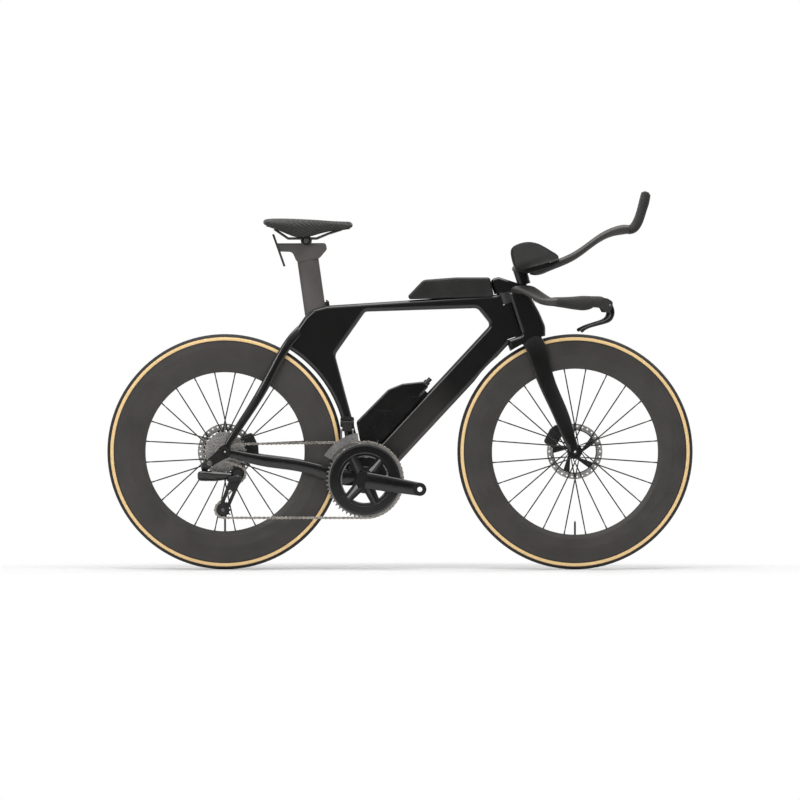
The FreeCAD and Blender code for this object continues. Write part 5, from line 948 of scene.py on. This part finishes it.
def spokeLines(wheel):  # hub end and rim end of each spoke
    axle, depth, flange, ends = spokes["wheels"][wheel]
    lines = []
    for index in range(spokes["count"]):
        turn = (index + 0.5) * 360 / spokes["count"]
        lead = 1 if index % 4 < 2 else -1
        end = ends[index % 2]
        seat = flange - spokes["seat"] * spokes["thickness"]
        hub = Vector(around(axle, seat, turn + lead * spokes["crossing"]))
        hub.y = end
        rim = Vector(around(axle, spokes["rimOuter"] - depth + spokes["wall"], turn))
        rim.y = math.copysign(spokes["rimOffset"], end)
        lines.append((hub, rim))
    return lines


def makeBlades():
    sides = spokes["sides"]
    for wheel in spokes["wheels"]:
        points, faces = [], []
        for hub, rim in spokeLines(wheel):
            axis = (rim - hub).normalized()
            wide = axis.cross(Vector((0, 1, 0))).normalized()
            thin = axis.cross(wide)
            length = (rim - hub).length + spokes["sunk"]
            faces += ringFaces(len(spokes["blade"]), sides, len(points))
            for share, halfWide, halfThin in spokes["blade"]:
                for spot in range(sides):
                    turn = 2 * math.pi * spot / sides
                    out = wide * (halfWide * math.cos(turn)) + thin * (halfThin * math.sin(turn))
                    points.append((hub + axis * (share * length) + out) * mm)
        node = wheel + "_spokes"
        mesh = meshOf(wheel + "_blades", points, faces)
        keepPiece(wheel + "_blades", mesh, "spokeSteel", bodyOf[node], [node])


def makeNipples():
    tree = makeNippleTree()
    for wheel in spokes["wheels"]:
        marks = []
        for hub, rim in spokeLines(wheel):
            axis = (hub - rim).normalized()
            marks.append(((rim + axis * spokes["sunk"]) * mm, axis, spokes["nipple"] * mm))
        mesh = grow(tree, "nipples", marks, "anodised", spokes["sizes"])
        keepPiece(wheel + "_nipples", mesh, "anodised", bodyOf[wheel + "_rim"])


# trim on the chainring and a housing on the rear mech

ringTrim = {
    "centre": (-100.86, -53.5, 259.0), "crankAngle": -9.5, "spider": (61.0, -55.0, 129.0, -123.0),
    "beads": ((77.2, 1.5), (98.2, 1.3)), "points": 120, "ribLoft": (12, 4, 2.0),
    # distance out, half width and half thickness of a spider rib
    "rib": [
        (24.0, 9.5, 0.6), (30.0, 9.0, 3.2), (46.0, 7.0, 2.8), (62.0, 5.6, 2.2), (72.0, 5.0, 1.6), (74.5, 3.0, 0.4),
    ],
}


def makeRingTrim():
    centre, body = ringTrim["centre"], bodyOf["crank_arm_right"]
    for number, (radius, thick) in enumerate(ringTrim["beads"]):
        count = ringTrim["points"]
        path = [Vector(around(centre, radius, 360 * spot / count)) * mm for spot in range(count)]
        mesh = tubeAlong("ring_bead", [path], thick * mm)
        keepPiece("ring_bead_%d" % number, mesh, "trimGloss", body)
    ribs = []
    for angle in ringTrim["spider"]:
        rows = []
        for out, wide, thick in ringTrim["rib"]:
            place = around(centre, out, ringTrim["crankAngle"] + angle)
            rows.append((place[0], place[2], wide, thick))
        ribs.append(loftOf(rows, *ringTrim["ribLoft"], centre[1]))
    mesh = meshOf("spider_ribs", *joinForms(ribs), smooth=False)
    keepPiece("spider_ribs", mesh, "trimGloss", body)


mechHousing = {
    "pivot": (-563.0, -82.0, 271.0), "axis": (0.0, 0.61, 0.793),
    # distance along the link, half height and half thickness
    "rows": [
        (-18.0, 3.0, 2.0), (-16.8, 12.0, 5.5), (-11.0, 18.0, 7.4), (0.0, 19.5, 7.7), (14.0, 18.6, 9.0),
        (32.0, 16.5, 11.0), (48.0, 14.5, 9.5), (66.0, 12.0, 7.7), (77.0, 9.6, 7.4), (82.5, 5.6, 5.0),
        (83.5, 2.0, 2.0),
    ],
    "rings": 60, "sides": 32, "square": 3.2,
}


def makeMechHousing():
    axis = Vector(mechHousing["axis"]).normalized()
    run = Vector((1, 0, 0))
    rise = axis.cross(run)
    points = []
    rings, sides = mechHousing["rings"], mechHousing["sides"]
    loop = roundSquare(sides, mechHousing["square"])
    for along, tall, thick in smoothCurve(mechHousing["rows"], rings):
        middle = Vector(mechHousing["pivot"]) + run * along
        for u, v in loop:
            points.append((middle + rise * (u * tall) + axis * (v * thick)) * mm)
    mesh = meshOf("mech_housing", points, ringFaces(rings, sides))
    node = "rear_mech_link"
    keepPiece("mech_housing", mesh, "trimGloss", bodyOf[node], [node])


makeSaddle()
makeArmPads()
makeHandPieces()
makeRingTrim()
makeMechHousing()
print("soft and lofted pieces made")
makeScrews()
makeBlades()
makeNipples()
print("screws, spokes and nipples made")


# floor, light and background

studio = {
    "floorRadius": 9.0, "floorWhite": 0.72, "fadeStart": 0.7, "fadeEnd": 1.35, "fadeAlong": 0.75, "fadeAcross": 2.2,
    "skyLight": 0.55, "skyGradient": (0.0, 0.9, 0.05, 0.95), "wallGradient": (-0.8, 0.1, 0.03, 0.75),
    # lamp: place, target, size and power
    "lamps": {
        "overhead": ((0.0, -0.6, 3.2), (0.0, 0.0, 0.4), (3.6, 2.4), 105.0),
        "front": ((-2.2, -3.6, 2.2), (0.0, 0.0, 0.5), (1.6, 1.6), 40.0),
        "rim": ((2.6, 2.8, 2.2), (0.0, 0.0, 0.5), (1.4, 1.4), 30.0),
    },
}


def makeFloor(setup):
    form = bmesh.new()
    bmesh.ops.create_circle(form, cap_ends=True, segments=96, radius=setup["floorRadius"])
    mesh = bpy.data.meshes.new("floor")
    form.to_mesh(mesh)
    form.free()
    floor = bpy.data.objects.new("floor", mesh)
    bpy.context.scene.collection.objects.link(floor)
    finish = Finish("floorWhite", Roughness=0.9, Specular_IOR_Level=0.0)
    white = setup["floorWhite"]
    finish.set(Base_Color=(white, white, white))
    plain = Wire(finish, finish.surface.outputs[0])
    blank = finish.node("ShaderNodeEmission", inputs={"Color": (1, 1, 1), "Strength": 1.0})
    along, across = finish.x * setup["fadeAlong"], finish.y * setup["fadeAcross"]
    distance = (along ** 2.0 + across ** 2.0).root()
    far = distance.spread(setup["fadeStart"], setup["fadeEnd"])
    shown = finish.node("ShaderNodeMixShader", inputs={0: far, 1: plain, 2: blank})
    ray = finish.node("ShaderNodeLightPath", out="Is Camera Ray")
    final = finish.node("ShaderNodeMixShader", inputs={0: ray, 1: plain, 2: shown})
    output = next(item for item in finish.tree.nodes if item.type == "OUTPUT_MATERIAL")
    finish.feed(output.inputs["Surface"], final)
    mesh.materials.append(finish.material)


def makeLamp(name, place, target, size, power):
    data = bpy.data.lights.new(name, "AREA")
    data.shape = "RECTANGLE"
    data.size, data.size_y = size
    data.energy = power
    lamp = bpy.data.objects.new(name, data)
    bpy.context.scene.collection.objects.link(lamp)
    lamp.location = place
    lamp.rotation_euler = (Vector(target) - lamp.location).to_track_quat("-Z", "Y").to_euler()


def makeWorld(setup):
    world = bpy.data.worlds.new("studio")
    bpy.context.scene.world = world
    world.use_nodes = True
    world.node_tree.nodes.clear()
    sky = Graph(world.node_tree)
    path = sky.node("ShaderNodeLightPath", out=None)
    seen, glossy, through = (
        Wire(sky, path.outputs[name]) for name in ("Is Camera Ray", "Is Glossy Ray", "Is Transmission Ray")
    )
    direction = sky.node("ShaderNodeTexCoord", out="Generated")
    apart = sky.node("ShaderNodeSeparateXYZ", inputs={0: direction}, out=None)
    across, height = Wire(sky, apart.outputs["Y"]), Wire(sky, apart.outputs["Z"])
    mirrored = glossy.most(through)
    shown = height.spread(*setup["skyGradient"]).most(across.spread(*setup["wallGradient"]))
    level = shown * mirrored + (1.0 - mirrored) * setup["skyLight"]
    level = level * (1.0 - seen) + seen
    light = sky.node("ShaderNodeBackground", inputs={"Color": (1, 1, 1), "Strength": level})
    sky.node("ShaderNodeOutputWorld", inputs={"Surface": light}, out=None)


makeFloor(studio)
for name, lamp in studio["lamps"].items():
    makeLamp(name, *lamp)
makeWorld(studio)
bpy.context.scene.view_settings.view_transform = "Standard"
print("studio made")
